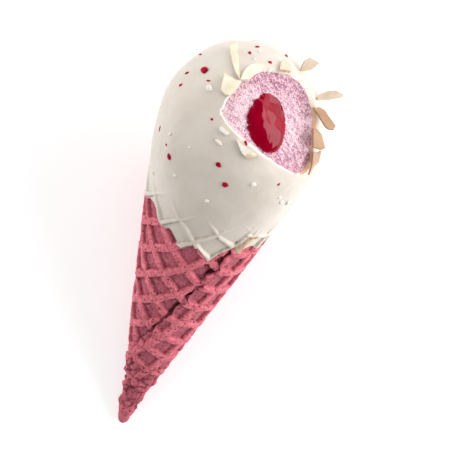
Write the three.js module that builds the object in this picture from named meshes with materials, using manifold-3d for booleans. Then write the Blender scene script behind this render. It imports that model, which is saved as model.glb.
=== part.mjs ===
// Ice cream cone lying on its side: a rolled waffle cone filled with ice cream, dipped in a white
// coating, with one bite that opens the coating and shows the ice cream and its jam core.
// Millimetres, +Z up. The origin is the middle of the flat spot that the cone rests on.
//
// Cone frame: x looks up at the sky, y looks to the side, z runs along the axis from tip to crown.
// The cone is a flat baked sheet, rolled: a point of the sheet at distance s from the apex, turned by
// the sheet angle p, lands at the cone azimuth p / sin(half angle), at the same distance s.

import * as THREE from 'three';
import { mergeVertices } from 'three/addons/utils/BufferGeometryUtils.js';
import Module from 'manifold-3d';

const wasm = await Module();
wasm.setup();

// ---------------------------------------------------------------- driving dimensions

const GAP = 0.3;
const RAD = Math.PI / 180;
const TURN = 2 * Math.PI;

// rolled waffle cone
const HALF_ANGLE = 11.83 * RAD;
const TIP_HEIGHT = 5;
const TIP_ROUND = 3;
const TIP_FLAT = 0.5;
const RIM_HEIGHT = 118.5;
const PITCH = 9.55;
const GRID_TURN = 47.7 * RAD;
const GRID_SHIFT_I = 42.1 / PITCH;
const GRID_SHIFT_J = -92.6 / PITCH;
const RIDGE_HEIGHT = 1.15;
const RIDGE_TOP = 0.065;
const RIDGE_FOOT = 0.14;
const SHEET_LIFT = 0.35;
const START_SINK = 1.25;
const START_SPAN = [-70 * RAD, 35 * RAD];
const END_RISE = 0.55;
const END_SPAN = [-325 * RAD, -265 * RAD];
const SHEET_CORE = 2.5;
const SHEET_BACK = 1.3;
const SHAVE = 0.05;
const HOLLOW_START = 28;
const RELIEF_START = 7;
const RELIEF_FULL = 30;
const TILES_START = 14;
const TILES_INSIDE = 0.5;
const UNDER_COAT = 6;

// edge of the sheet: a line across the grid, i = EDGE_I + EDGE_SLOPE * j
const EDGE_I = -8.04;
const EDGE_SLOPE = 0.14;
const EDGE_UNDERLAP = 0.55;
const EDGE_STEP = 0.02;

// ridges that the roll uses, and the unrolled azimuths of its outer and inner halves
const ROW_RIDGES = [-5, 9];
const OUTER_RIDGES = [-7, 6];
const INNER_RIDGES = [-8, 9];
const OUTER_SPAN = [-460 * RAD, -170 * RAD];
const INNER_SPAN = [-200 * RAD, 62 * RAD];

// white coating over the ball
const BALL_CENTRE = 135.7;
const BALL_RADIUS = 28.35;
const BALL_CROWN = 34.15;
const BALL_POWER = 2.33;
const BALL_BLEND = 0.57;
const BALL_START = 121;
const CROWN_FLAT = 0.4;
const COAT_WALL = 1.3;
const COAT_START = 98;
const COAT_TUCK = 3;
const COAT_OVER_RIDGE = 0.15;
const COAT_RELIEF = 0.75;
const COAT_RELIEF_FADE = [111, 120];
const LUMP = 0.22;
const LUMP_FADE = 9;

// lower edge of the coating
const DIP_HEIGHT = 107;
const DIP_LEAN = 2.5;
const DIP_WAVE = 2.2;
const DIP_WAVES = 11;
const DIP_WAVE_START = 18 * RAD;

// bite: a nearly flat break, in a frame of its own on the ball
const BITE_CENTRE = new THREE.Vector3(15.6, 7.9, 156.9);
const BITE_FACING = new THREE.Vector3(0.661, 0.409, 0.629).normalize();
const BITE_DEPTH = 5.5;
const BITE_REACH = 24;
const BITE_STEPS = 12;
const ICE_RECESS = 0.7;
const ICE_DOME = 0.004;
const ICE_GRAIN = 0.25;
const ICE_WAVE_LONG = 0.7;
const ICE_WAVE_SHORT = 1.2;
const BITE_OUTLINE = [
  [0.6, 16.2], [-4.7, 15.4], [-7.6, 13.9], [-11.4, 10.7], [-14.2, 7.3], [-16.4, 3.4],
  [-16.9, 1.5], [-16.0, -1.1], [-11.6, -5.6], [-6.4, -9.7], [-0.6, -13.1], [3.5, -14.7],
  [7.0, -15.4], [14.2, -15.6], [16.0, -13.8], [16.3, -11.2], [15.1, -3.3], [14.7, 1.5],
  [13.7, 7.9], [12.4, 11.0], [10.6, 14.2], [6.3, 16.1],
];

// jam core: an oval on the bite, then inwards and down the axis. The nose lists how far each ring
// lies behind the front, and its share of the oval; in the cone it is height and radius.
const CORE_CENTRE = [-1.95, -0.5];
const CORE_HALF_WIDTH = 6.8;
const CORE_HALF_LENGTH = 9.2;
const CORE_BULGE = 0.9;
const CORE_NOSE = [[0, 0.45], [0.25, 0.8], [1.1, 1], [8, 0.99]];
const CORE_MOUTH = 12;
const CORE_BEND = new THREE.Vector3(4.5, 1.5, 141);
const CORE_BEND_HALF = [6.9, 8.2];
const CORE_BEND_TURN = 0.45;
const CORE_IN_CONE = [[124, 7.0], [106, 5.6], [90, 4.4], [78, 3.2]];
const CORE_END = [2, 0.5];

// fruit bits and coating crumbs: azimuth in degrees, height, half length
const BITS = [
  [-64, 161.6, 1.3], [-78, 155.1, 0.8], [-68, 152.9, 0.7], [-91, 160.7, 1.0], [-63, 136.7, 1.2],
  [-47, 136.1, 0.7], [-41, 133.5, 1.1], [-5, 141.9, 0.9], [4, 135.9, 1.1], [-84, 169.0, 0.7],
  [-131, 168.6, 0.7], [142, 168.8, 0.6], [40, 140.0, 0.6], [-11, 148.4, 0.8], [-41, 160.2, 0.9],
  [21, 139.3, 0.7],
];
const BACK_BITS = 12;
const BACK_AZIMUTHS = [75, 285];
const BACK_HEIGHTS = [131, 148, 164];
const BACK_SIZES = [0.7, 1.2];
const FLOOR_SECTOR = 40;
const GOLDEN = 0.618;
const BIT_FLATNESS = 0.55;
const BIT_WIDTH = 0.75;
const BIT_SPIN = 1.7;
const SLOPE_STEP = 0.2;

// coating shards round the break, each a plate along a line in the bite frame, with its widths from
// root to end; a lying one follows the ball, a standing one sticks out from its root
const SHARD_WALL = 1.0;
const SHARD_LIFT = 0.4;
const RISE_TOP = 12;
const RISE_BOTTOM = -30;
const RISE_STEPS = [4, 2, 1, 0.5, 0.25, 0.125, 0.06, 0.03, 0.015];
const LYING_SHARDS = {
  shard_crown_long: { from: [-11.6, 12.9], to: [-8.4, 24.2], widths: [0.6, 1.9, 2.8, 3.4] },
  shard_crown_flat: { from: [-10.4, 12.9], to: [-4.2, 17.3], widths: [0.8, 2.8, 3.0, 1.6] },
  shard_left: { from: [-13.4, 12.4], to: [-16.2, 7.6], widths: [3.8, 3.6, 3.0, 2.2] },
  shard_top: { from: [4.5, 17.1], to: [5.6, 20.4], widths: [4.2, 4.4, 3.4, 1.8] },
  shard_lower_left: { from: [-13.0, -7.2], to: [-5.4, -12.0], widths: [0.8, 2.3, 2.6, 1.2] },
  shard_chip: { from: [-17.4, -3.8], to: [-15.2, -5.6], widths: [0.9, 1.5, 1.7, 1.6] },
};
const STANDING_SHARDS = {
  shard_top_right: { from: [11.7, 17.5, -3.6], to: [16.1, 21.5, -1.6], widths: [0.9, 3.4, 3.9, 3.0] },
  shard_side_high: { from: [17.1, 8.6, -0.9], to: [24.7, 10.3, 2.6], widths: [1.0, 3.2, 3.3, 1.0] },
  shard_side_mid: { from: [15.6, 5.2, 1.7], to: [20.7, -0.8, 4.8], widths: [1.8, 3.0, 3.1, 2.2] },
  shard_side_low: { from: [16.0, -0.2, 2.2], to: [17.4, -8.0, 2.9], widths: [0.8, 3.0, 3.4, 1.0] },
  shard_corner: { from: [18.0, -8.9, -0.8], to: [15.7, -16.3, -1.6], widths: [2.3, 2.6, 1.8, 0.7] },
};

// how it lies
const FLAT_DEPTH = 0.35;
const SLANT_TO_REST = 122;

// cutters reach this far past everything
const BEYOND = 80;

// mesh resolution
const ROUND_STEPS = 48;
const BALL_STEPS = 40;
const BALL_ROWS = 13;
const INNER_STEPS = 26;
const INNER_ROWS = 10;
const CORE_STEPS = 20;

const FINISHES = {
  wafer: { color: 0xc4606c, roughness: 0.75, metalness: 0 },
  coating: { color: 0xe8dfd2, roughness: 0.4, metalness: 0 },
  ice_cream: { color: 0xe9bcd0, roughness: 0.8, metalness: 0 },
  jam_core: { color: 0x9c0026, roughness: 0.12, metalness: 0 },
  shard: { color: 0xf0ddbc, roughness: 0.5, metalness: 0 },
};

// ---------------------------------------------------------------- meshes and solids

function geometryOf(positions, triangles) {
  const geometry = new THREE.BufferGeometry();
  geometry.setAttribute('position', new THREE.Float32BufferAttribute(positions, 3));
  geometry.setIndex(triangles);
  return geometry;
}

function solid(geometry) {
  const bare = geometry.clone();
  bare.deleteAttribute('normal');
  bare.deleteAttribute('uv');
  const merged = mergeVertices(bare, 1e-4);
  const corners = Array.from(merged.index.array);
  const vertProperties = new Float32Array(merged.attributes.position.array);
  const build = (list) => new wasm.Manifold(new wasm.Mesh({
    numProp: 3,
    vertProperties,
    triVerts: new Uint32Array(list),
  }));
  const made = build(corners);
  if (made.volume() > 0) return made;
  for (let k = 0; k < corners.length; k += 3) {
    const first = corners[k];
    corners[k] = corners[k + 1];
    corners[k + 1] = first;
  }
  return build(corners);
}

function meshOf(manifold, name, finish) {
  const made = manifold.getMesh();
  const geometry = geometryOf(Array.from(made.vertProperties), Array.from(made.triVerts));
  geometry.computeVertexNormals();
  const mesh = new THREE.Mesh(geometry, new THREE.MeshStandardMaterial(finish));
  mesh.name = name;
  return mesh;
}

// A closed solid through rings of points, all rings with the same number of points.
function loft(rings) {
  const count = rings[0].length;
  const positions = [];
  const triangles = [];
  rings.flat().forEach((p) => positions.push(p.x, p.y, p.z));
  for (let r = 0; r + 1 < rings.length; r += 1) {
    for (let k = 0; k < count; k += 1) {
      const next = (k + 1) % count;
      const a = r * count + k;
      const b = r * count + next;
      triangles.push(a, b, a + count, b, b + count, a + count);
    }
  }
  const capped = [[0, true], [rings.length - 1, false]];
  capped.forEach(([ring, first]) => {
    const centre = new THREE.Vector3();
    rings[ring].forEach((p) => centre.add(p));
    centre.divideScalar(count);
    const middle = positions.length / 3;
    positions.push(centre.x, centre.y, centre.z);
    for (let k = 0; k < count; k += 1) {
      const a = ring * count + k;
      const b = ring * count + ((k + 1) % count);
      if (first) triangles.push(b, a, middle);
      else triangles.push(a, b, middle);
    }
  });
  return solid(geometryOf(positions, triangles));
}

// A solid of revolution about z, from [radius, height] pairs listed upwards, closed on the axis.
function revolved(profile, steps) {
  const closed = [[0, profile[0][1]], ...profile, [0, profile[profile.length - 1][1]]];
  const points = closed.map(([radius, height]) => new THREE.Vector2(radius, height));
  const geometry = new THREE.LatheGeometry(points, steps);
  geometry.rotateX(Math.PI / 2);
  geometry.rotateZ(Math.PI / 2);
  return solid(geometry);
}

function range(from, to, count) {
  return Array.from({ length: count + 1 }, (_, k) => from + ((to - from) * k) / count);
}

function smoothstep(from, to, value) {
  return THREE.MathUtils.smoothstep(value, from, to);
}

// ---------------------------------------------------------------- the sheet and its roll

const GRID_AXIS_I = new THREE.Vector2(Math.cos(GRID_TURN), Math.sin(GRID_TURN));
const GRID_AXIS_J = new THREE.Vector2(Math.sin(GRID_TURN), -Math.cos(GRID_TURN));

function sheetPoint(i, j) {
  const onI = (i + GRID_SHIFT_I) * PITCH;
  const onJ = (j + GRID_SHIFT_J) * PITCH;
  return new THREE.Vector2(
    GRID_AXIS_I.x * onI + GRID_AXIS_J.x * onJ,
    GRID_AXIS_I.y * onI + GRID_AXIS_J.y * onJ,
  );
}

// Slant distance from the apex and unrolled azimuth of a grid place.
function polar(i, j) {
  const q = sheetPoint(i, j);
  return { slant: q.length(), azimuth: Math.atan2(q.x, q.y) / Math.sin(HALF_ANGLE) };
}

function onCone(slant, azimuth, lift, share = 1) {
  const radius = (slant * Math.sin(HALF_ANGLE) + lift * Math.cos(HALF_ANGLE)) * share;
  const height = slant * Math.cos(HALF_ANGLE) - lift * Math.sin(HALF_ANGLE);
  return new THREE.Vector3(radius * Math.cos(azimuth), radius * Math.sin(azimuth), height);
}

// 1 on a ridge's flat top, 0 in a pocket, straight flanks between.
function ridge(coordinate) {
  const away = Math.abs(coordinate - Math.round(coordinate));
  return 1 - THREE.MathUtils.clamp((away - RIDGE_TOP) / (RIDGE_FOOT - RIDGE_TOP), 0, 1);
}

function edgeOfSheet(j) {
  return EDGE_I + EDGE_SLOPE * j;
}

// The sheet's start is pressed in where its end comes to lie over it, and the end stands proud.
function spiral(azimuth) {
  const sunk = START_SINK * smoothstep(START_SPAN[0], START_SPAN[1], azimuth);
  const proud = END_RISE * (1 - smoothstep(END_SPAN[0], END_SPAN[1], azimuth));
  return SHEET_LIFT - sunk + proud;
}

function reliefFade(slant) {
  return smoothstep(RELIEF_START, RELIEF_FULL, slant);
}

function waferLift(i, j) {
  const { slant, azimuth } = polar(i, j);
  const low = 1 - Math.max(ridge(i), ridge(j));
  return (spiral(azimuth) - RIDGE_HEIGHT * low) * reliefFade(slant);
}

function coatLift(i, j) {
  const { slant, azimuth } = polar(i, j);
  const height = slant * Math.cos(HALF_ANGLE);
  const low = 1 - Math.max(ridge(i), ridge(j));
  const shows = 1 - smoothstep(COAT_RELIEF_FADE[0], COAT_RELIEF_FADE[1], height);
  const sink = GAP * smoothstep(BALL_START, BALL_START + COAT_TUCK, height);
  return (spiral(azimuth) + COAT_OVER_RIDGE - COAT_RELIEF * low) * shows - sink;
}

// Grid lines across each ridge from first to last: both feet and both shoulders.
function gridLines([first, last]) {
  const lines = [];
  for (let k = first; k <= last; k += 1) {
    lines.push(k - RIDGE_FOOT, k - RIDGE_TOP, k + RIDGE_TOP, k + RIDGE_FOOT);
  }
  return lines;
}

// A thick piece of rolled sheet. columns(j) gives the i lines of a row, keep(i, j) picks the tiles,
// and the solid reaches from the relief part of the way down to the axis.
function rolledPatch(columns, rows, keep, lift) {
  const places = rows.map((j) => columns(j).map((i) => [i, j]));
  const width = places[0].length;
  const used = new Map();
  const tops = [];
  const bottoms = [];
  const vertex = (r, c) => {
    const key = r * width + c;
    if (!used.has(key)) {
      const [i, j] = places[r][c];
      const { slant, azimuth } = polar(i, j);
      used.set(key, tops.length);
      tops.push(onCone(slant, azimuth, lift(i, j)));
      bottoms.push(onCone(slant, azimuth, 0, TILES_INSIDE));
    }
    return used.get(key);
  };
  const tiles = [];
  const kept = new Set();
  for (let r = 0; r + 1 < places.length; r += 1) {
    for (let c = 0; c + 1 < width; c += 1) {
      const i = (places[r][c][0] + places[r + 1][c + 1][0]) / 2;
      const j = (places[r][c][1] + places[r + 1][c + 1][1]) / 2;
      if (keep(i, j)) {
        kept.add(r * width + c);
        tiles.push([r, c]);
      }
    }
  }
  const faces = [];
  const walls = [];
  tiles.forEach(([r, c]) => {
    const corners = [vertex(r, c), vertex(r, c + 1), vertex(r + 1, c + 1), vertex(r + 1, c)];
    faces.push([corners[0], corners[1], corners[2]], [corners[0], corners[2], corners[3]]);
    const beside = [[r - 1, c], [r, c + 1], [r + 1, c], [r, c - 1]];
    beside.forEach(([br, bc], side) => {
      const inside = bc >= 0 && bc < width - 1 && kept.has(br * width + bc);
      if (!inside) walls.push([corners[side], corners[(side + 1) % 4]]);
    });
  });
  const under = tops.length;
  const triangles = [];
  faces.forEach(([a, b, c]) => triangles.push(a, b, c, c + under, b + under, a + under));
  walls.forEach(([a, b]) => triangles.push(b, a, b + under, a, a + under, b + under));
  const positions = [];
  [...tops, ...bottoms].forEach((p) => positions.push(p.x, p.y, p.z));
  return solid(geometryOf(positions, triangles));
}

// The roll in two overlapping halves: the outer one ends at the sheet's edge, the inner one runs on
// a little way under it. Past the edge the outer half's grid lines crowd up against it.
function rolledSheet(lift, from, to) {
  const rows = gridLines(ROW_RIDGES);
  const outerLines = gridLines(OUTER_RIDGES);
  const outerColumns = (j) => {
    const edge = edgeOfSheet(j);
    const lines = [(edge + outerLines[0]) / 2, ...outerLines];
    return [edge, ...lines.map((i, k) => Math.max(i, edge + EDGE_STEP * (k + 1)))];
  };
  const innerLines = gridLines(INNER_RIDGES);
  const inReach = (i, j) => {
    const { slant } = polar(i, j);
    const height = slant * Math.cos(HALF_ANGLE);
    return slant > TILES_START && height > from - PITCH / 2 && height < to + PITCH / 2;
  };
  const within = (i, j, [first, last]) => {
    const { azimuth } = polar(i, j);
    return inReach(i, j) && azimuth > first && azimuth < last;
  };
  const underEdge = (i, j) => {
    const { slant, azimuth } = polar(i, j);
    const turned = (azimuth - TURN) * Math.sin(HALF_ANGLE);
    const q = new THREE.Vector2(slant * Math.sin(turned), slant * Math.cos(turned));
    const overI = q.dot(GRID_AXIS_I) / PITCH - GRID_SHIFT_I;
    const overJ = q.dot(GRID_AXIS_J) / PITCH - GRID_SHIFT_J;
    return overI < edgeOfSheet(overJ) + EDGE_UNDERLAP;
  };
  const isOuter = (i, j) => within(i, j, OUTER_SPAN);
  const isInner = (i, j) => within(i, j, INNER_SPAN) && underEdge(i, j);
  const outer = rolledPatch(outerColumns, rows, isOuter, lift);
  const inner = rolledPatch(() => innerLines, rows, isInner, lift);
  return outer.add(inner);
}

// ---------------------------------------------------------------- profiles along the axis

function coneRadius(height) {
  return height * Math.tan(HALF_ANGLE);
}

// The cone under the tiles, rounded off like a ball at the tip.
function sheetCoreRadius(height) {
  const nearTip = Math.max(0, (TIP_HEIGHT + TIP_ROUND - height) / TIP_ROUND);
  const rounded = Math.sqrt(Math.max(0, 1 - nearTip ** 2));
  return coneRadius(height) * rounded - SHEET_CORE * reliefFade(height);
}

// The cone's line and the ball's crown, blended where they meet.
function ballRadius(height) {
  const rise = Math.max(0, (height - BALL_CENTRE) / BALL_CROWN);
  const crown = BALL_RADIUS * Math.max(0, 1 - rise ** BALL_POWER) ** (1 / BALL_POWER);
  const cone = Math.min(coneRadius(height), 2 * BALL_RADIUS);
  return -BALL_BLEND * Math.log(Math.exp(-cone / BALL_BLEND) + Math.exp(-crown / BALL_BLEND));
}

// Ball profile pulled in by a wall, heights crowded towards the crown.
function ballProfile(from, wall, rows) {
  const top = BALL_CENTRE + BALL_CROWN - wall;
  return range(0, 1, rows).map((share) => {
    const height = from + (top - from) * Math.sin((share * Math.PI) / 2);
    const stretched = from + ((height - from) * (BALL_CENTRE + BALL_CROWN - from)) / (top - from);
    return [Math.max(CROWN_FLAT, ballRadius(stretched) - wall), height];
  });
}

// Shallow uneven swells: waves round the ball that lean as they climb, two sizes of them.
function lumps(azimuth, height) {
  const slow = Math.sin(3 * azimuth + 0.11 * height) * Math.cos(2 * azimuth - 0.17 * height + 1);
  const quick = Math.sin(5 * azimuth - 0.23 * height + 2) * Math.sin(0.19 * height + 3 * azimuth);
  return LUMP * (slow + 0.6 * quick);
}

function dipHeight(azimuth) {
  const phase = ((azimuth - DIP_WAVE_START) * DIP_WAVES) / TURN;
  const zigzag = 4 * Math.abs(phase - Math.floor(phase + 0.5)) - 1;
  return DIP_HEIGHT - DIP_LEAN * Math.cos(azimuth) + DIP_WAVE * zigzag;
}

// ---------------------------------------------------------------- frames

const BITE_U = new THREE.Vector3(0, 0, 1).cross(BITE_FACING).normalize();
const BITE_V = BITE_FACING.clone().cross(BITE_U);

function inBite(u, v, rise) {
  return BITE_CENTRE.clone()
    .addScaledVector(BITE_U, u)
    .addScaledVector(BITE_V, v)
    .addScaledVector(BITE_FACING, rise);
}

const BITE_FRAME = new THREE.Matrix4().makeBasis(BITE_U, BITE_V, BITE_FACING).setPosition(BITE_CENTRE);

// Everything below the floor, in the cone frame: the floor runs along the cone's lowest line.
function underFloor() {
  const geometry = new THREE.BoxGeometry(BEYOND, 2 * BEYOND, 6 * BEYOND);
  geometry.translate(FLAT_DEPTH - BEYOND / 2, 0, 0);
  geometry.rotateY(-HALF_ANGLE);
  return solid(geometry);
}

// ---------------------------------------------------------------- sub-parts

// Everything above the coating's wavy lower edge, lowered by a gap where the cone makes room.
function aboveDip(lowered) {
  const azimuths = range(0, TURN, ROUND_STEPS * 2).slice(0, -1);
  const ring = (heightAt) => azimuths.map((azimuth) => new THREE.Vector3(
    BEYOND * Math.cos(azimuth), BEYOND * Math.sin(azimuth), heightAt(azimuth),
  ));
  return loft([
    ring((azimuth) => dipHeight(azimuth) - lowered),
    ring(() => RIM_HEIGHT + BEYOND),
  ]);
}

function makeWafer() {
  const heights = [
    ...range(TIP_HEIGHT, TIP_HEIGHT + TIP_ROUND, 4),
    ...range(TIP_HEIGHT + 2 * TIP_ROUND, RELIEF_FULL, 5),
    ...range(2 * RELIEF_FULL, RIM_HEIGHT, 2),
  ];
  const core = revolved(
    heights.map((height) => [Math.max(TIP_FLAT, sheetCoreRadius(height)), height]),
    ROUND_STEPS,
  );
  const hollow = revolved(
    [HOLLOW_START, RIM_HEIGHT + PITCH]
      .map((height) => [coneRadius(height) - SHEET_CORE - SHEET_BACK, height]),
    INNER_STEPS,
  );
  const shaved = revolved(
    [RIM_HEIGHT / 2, 2 * RIM_HEIGHT]
      .map((height) => [coneRadius(height) - SHEET_CORE - SHAVE, height]),
    ROUND_STEPS,
  );
  const overRim = revolved([[BEYOND, RIM_HEIGHT], [BEYOND, RIM_HEIGHT + BEYOND]], ROUND_STEPS);
  return core
    .add(rolledSheet(waferLift, 0, DIP_HEIGHT + UNDER_COAT))
    .subtract(aboveDip(GAP).subtract(shaved))
    .subtract(hollow)
    .subtract(overRim)
    .subtract(underFloor());
}

function ballBody() {
  const azimuths = range(0, TURN, BALL_STEPS).slice(0, -1);
  return loft(ballProfile(BALL_START, 0, BALL_ROWS).map(([radius, height]) => azimuths.map((azimuth) => {
    const fade = smoothstep(BALL_START, BALL_START + LUMP_FADE, height);
    const rough = radius + lumps(azimuth, height) * fade;
    return new THREE.Vector3(rough * Math.cos(azimuth), rough * Math.sin(azimuth), height);
  })));
}

function biteOpening() {
  const outline = new THREE.Shape(BITE_OUTLINE.map(([u, v]) => new THREE.Vector2(u, v)));
  const geometry = new THREE.ExtrudeGeometry(outline, { depth: BEYOND, bevelEnabled: false });
  geometry.translate(0, 0, -BITE_DEPTH);
  geometry.applyMatrix4(BITE_FRAME);
  return solid(geometry);
}

function coatInside() {
  const neck = [RIM_HEIGHT / 2, RIM_HEIGHT + GAP].map((height) => [
    coneRadius(height) - SHEET_CORE - SHAVE + GAP, height,
  ]);
  const dome = ballProfile(RIM_HEIGHT + GAP + 0.01, COAT_WALL, INNER_ROWS);
  return revolved([...neck, ...dome], INNER_STEPS);
}

// One small angular bit pressed into the coating, long way round the ball.
function fruitBit(azimuthDegrees, height, size) {
  const azimuth = azimuthDegrees * RAD;
  const widening = ballRadius(height + SLOPE_STEP) - ballRadius(height - SLOPE_STEP);
  const slope = Math.atan2(widening, 2 * SLOPE_STEP);
  const radius = ballRadius(height) + lumps(azimuth, height);
  const geometry = new THREE.IcosahedronGeometry(size);
  geometry.scale(BIT_FLATNESS, 1, BIT_WIDTH);
  geometry.rotateX(BIT_SPIN * height);
  geometry.rotateY(slope);
  geometry.rotateZ(azimuth);
  geometry.translate(radius * Math.cos(azimuth), radius * Math.sin(azimuth), height);
  return solid(geometry);
}

// Even spread of bits on the sides that are turned away; above the flat spot they stay high up.
function backBits() {
  return range(BACK_AZIMUTHS[0], BACK_AZIMUTHS[1], BACK_BITS - 1).map((azimuth, k) => {
    const nearFloor = Math.abs(azimuth - 180) < FLOOR_SECTOR;
    const lowest = nearFloor ? BACK_HEIGHTS[1] : BACK_HEIGHTS[0];
    const height = THREE.MathUtils.lerp(lowest, BACK_HEIGHTS[2], (k * GOLDEN) % 1);
    const size = THREE.MathUtils.lerp(BACK_SIZES[0], BACK_SIZES[1], (k * GOLDEN * 2) % 1);
    return [azimuth, height, size];
  });
}

function makeCoating() {
  const outside = rolledSheet(coatLift, COAT_START, BALL_START).add(ballBody());
  let coat = outside
    .subtract(coatInside())
    .intersect(aboveDip(0))
    .subtract(biteOpening());
  [...BITS, ...backBits()].forEach(([azimuth, height, size]) => {
    coat = coat.add(fruitBit(azimuth, height, size));
  });
  return coat.subtract(coatInside()).subtract(underFloor());
}

// The slightly rough, gently domed break of the ice cream, as a thick cutter.
function biteFace() {
  const steps = range(-BITE_REACH, BITE_REACH, BITE_STEPS);
  const rings = steps.map((v) => {
    const line = steps.map((u) => {
      const dome = -ICE_DOME * (u * u + v * v);
      const across = Math.sin(ICE_WAVE_SHORT * u + ICE_WAVE_LONG * v);
      const along = Math.cos(ICE_WAVE_SHORT * v - ICE_WAVE_LONG * u);
      return inBite(u, v, dome + ICE_GRAIN * across * along - ICE_RECESS);
    });
    return [...line, inBite(BITE_REACH, v, BEYOND), inBite(-BITE_REACH, v, BEYOND)];
  });
  return loft(rings);
}

// Rings of the core: straight in from the bite, round a bend, then down the cone's axis. The rings
// of its nose come first. Each half length grows by the gap for the channel that it lies in.
function coreRings(grow) {
  const stations = CORE_NOSE.map(([behind, share]) => ({
    at: inBite(CORE_CENTRE[0], CORE_CENTRE[1], CORE_BULGE - behind),
    v: BITE_V,
    half: [share * CORE_HALF_WIDTH, share * CORE_HALF_LENGTH],
  }));
  const downV = BITE_U.clone().cross(new THREE.Vector3(0, 0, -1)).normalize();
  const bendV = BITE_V.clone().lerp(downV, CORE_BEND_TURN).normalize();
  stations.push({ at: CORE_BEND, v: bendV, half: CORE_BEND_HALF });
  const [lastHeight, lastRadius] = CORE_IN_CONE[CORE_IN_CONE.length - 1];
  const end = [lastHeight - CORE_END[0] - grow, lastRadius * CORE_END[1]];
  [...CORE_IN_CONE, end].forEach(([height, radius]) => {
    stations.push({ at: new THREE.Vector3(0, 0, height), v: downV, half: [radius, radius] });
  });
  const turns = range(0, TURN, CORE_STEPS).slice(0, -1);
  return stations.map(({ at, v, half }) => turns.map((turn) => at.clone()
    .addScaledVector(BITE_U, (half[0] + grow) * Math.cos(turn))
    .addScaledVector(v, (half[1] + grow) * Math.sin(turn))));
}

function makeIceCream() {
  const inCone = [HOLLOW_START + 2, RIM_HEIGHT + 2 * GAP].map((height) => [
    coneRadius(height) - SHEET_CORE - SHEET_BACK - GAP, height,
  ]);
  const dome = ballProfile(RIM_HEIGHT + 2 * GAP + 0.01, COAT_WALL + GAP, INNER_ROWS);
  const body = revolved([...inCone, ...dome], INNER_STEPS);
  const rings = coreRings(GAP);
  const full = CORE_NOSE.length - 2;
  const mouth = rings[full].map((p) => p.clone().addScaledVector(BITE_FACING, CORE_MOUTH));
  const channel = loft([mouth, ...rings.slice(full)]);
  return body.subtract(biteFace()).subtract(channel);
}

const BALL_MIDDLE = new THREE.Vector3(0, 0, BALL_CENTRE);

function insideBall(point) {
  const azimuth = Math.atan2(point.y, point.x);
  const reach = ballRadius(point.z) + lumps(azimuth, point.z);
  return Math.hypot(point.x, point.y) < reach;
}

// Rise over the bite's plane at which a place of the bite frame meets the outside of the ball.
function ballRise(u, v) {
  let rise = RISE_TOP;
  RISE_STEPS.forEach((step) => {
    while (rise > RISE_BOTTOM && !insideBall(inBite(u, v, rise))) rise -= step;
    rise += step;
  });
  return rise;
}

// A plate through four-cornered rings, square to the line from its root to its end.
function makeShard(name, { from, to, widths }, lies) {
  const last = widths.length - 1;
  const centres = widths.map((_, k) => {
    const [u, v, rise] = from.map((value, axis) => THREE.MathUtils.lerp(value, to[axis], k / last));
    const at = inBite(u, v, lies ? ballRise(u, v) : rise);
    const outward = at.clone().sub(BALL_MIDDLE).normalize();
    return at.addScaledVector(outward, SHARD_LIFT + (lies ? SHARD_WALL / 2 : 0));
  });
  const rings = widths.map((width, k) => {
    const along = centres[Math.min(k + 1, last)].clone().sub(centres[Math.max(k - 1, 0)]).normalize();
    const facing = lies ? centres[k].clone().sub(BALL_MIDDLE) : BITE_FACING;
    const side = facing.clone().cross(along).normalize();
    const up = along.clone().cross(side);
    const corners = [[-1, -1], [1, -1], [1, 1], [-1, 1]];
    return corners.map(([across, over]) => centres[k].clone()
      .addScaledVector(side, (across * width) / 2)
      .addScaledVector(up, (over * SHARD_WALL) / 2));
  });
  return meshOf(loft(rings), name, FINISHES.shard);
}

// ---------------------------------------------------------------- the cone, laid down

const parts = new THREE.Group();
parts.add(meshOf(makeWafer(), 'wafer', FINISHES.wafer));
parts.add(meshOf(makeCoating(), 'coating', FINISHES.coating));
parts.add(meshOf(makeIceCream(), 'ice_cream', FINISHES.ice_cream));
parts.add(meshOf(loft(coreRings(0)), 'jam_core', FINISHES.jam_core));
Object.entries(LYING_SHARDS).forEach(([name, shard]) => parts.add(makeShard(name, shard, true)));
Object.entries(STANDING_SHARDS).forEach(([name, shard]) => parts.add(makeShard(name, shard, false)));

const SKY = new THREE.Vector3(-Math.sin(HALF_ANGLE), 0, Math.cos(HALF_ANGLE));
const SIDE = new THREE.Vector3(0, -1, 0);
const AXIS = new THREE.Vector3(Math.cos(HALF_ANGLE), 0, Math.sin(HALF_ANGLE));
parts.quaternion.setFromRotationMatrix(new THREE.Matrix4().makeBasis(SKY, SIDE, AXIS));
parts.position.set(-SLANT_TO_REST, 0, -FLAT_DEPTH);

const cone = new THREE.Group();
cone.add(parts);

export default cone;
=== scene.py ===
# Looks of the ice cream cone: a pink waffle cone lying on its side, filled with ice cream, dipped in
# a white coating, with one bite that shows pink ice cream round a jam core. Metres, +Z up.

import math

import bpy
import numpy as np
from mathutils import Matrix, Vector


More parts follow.
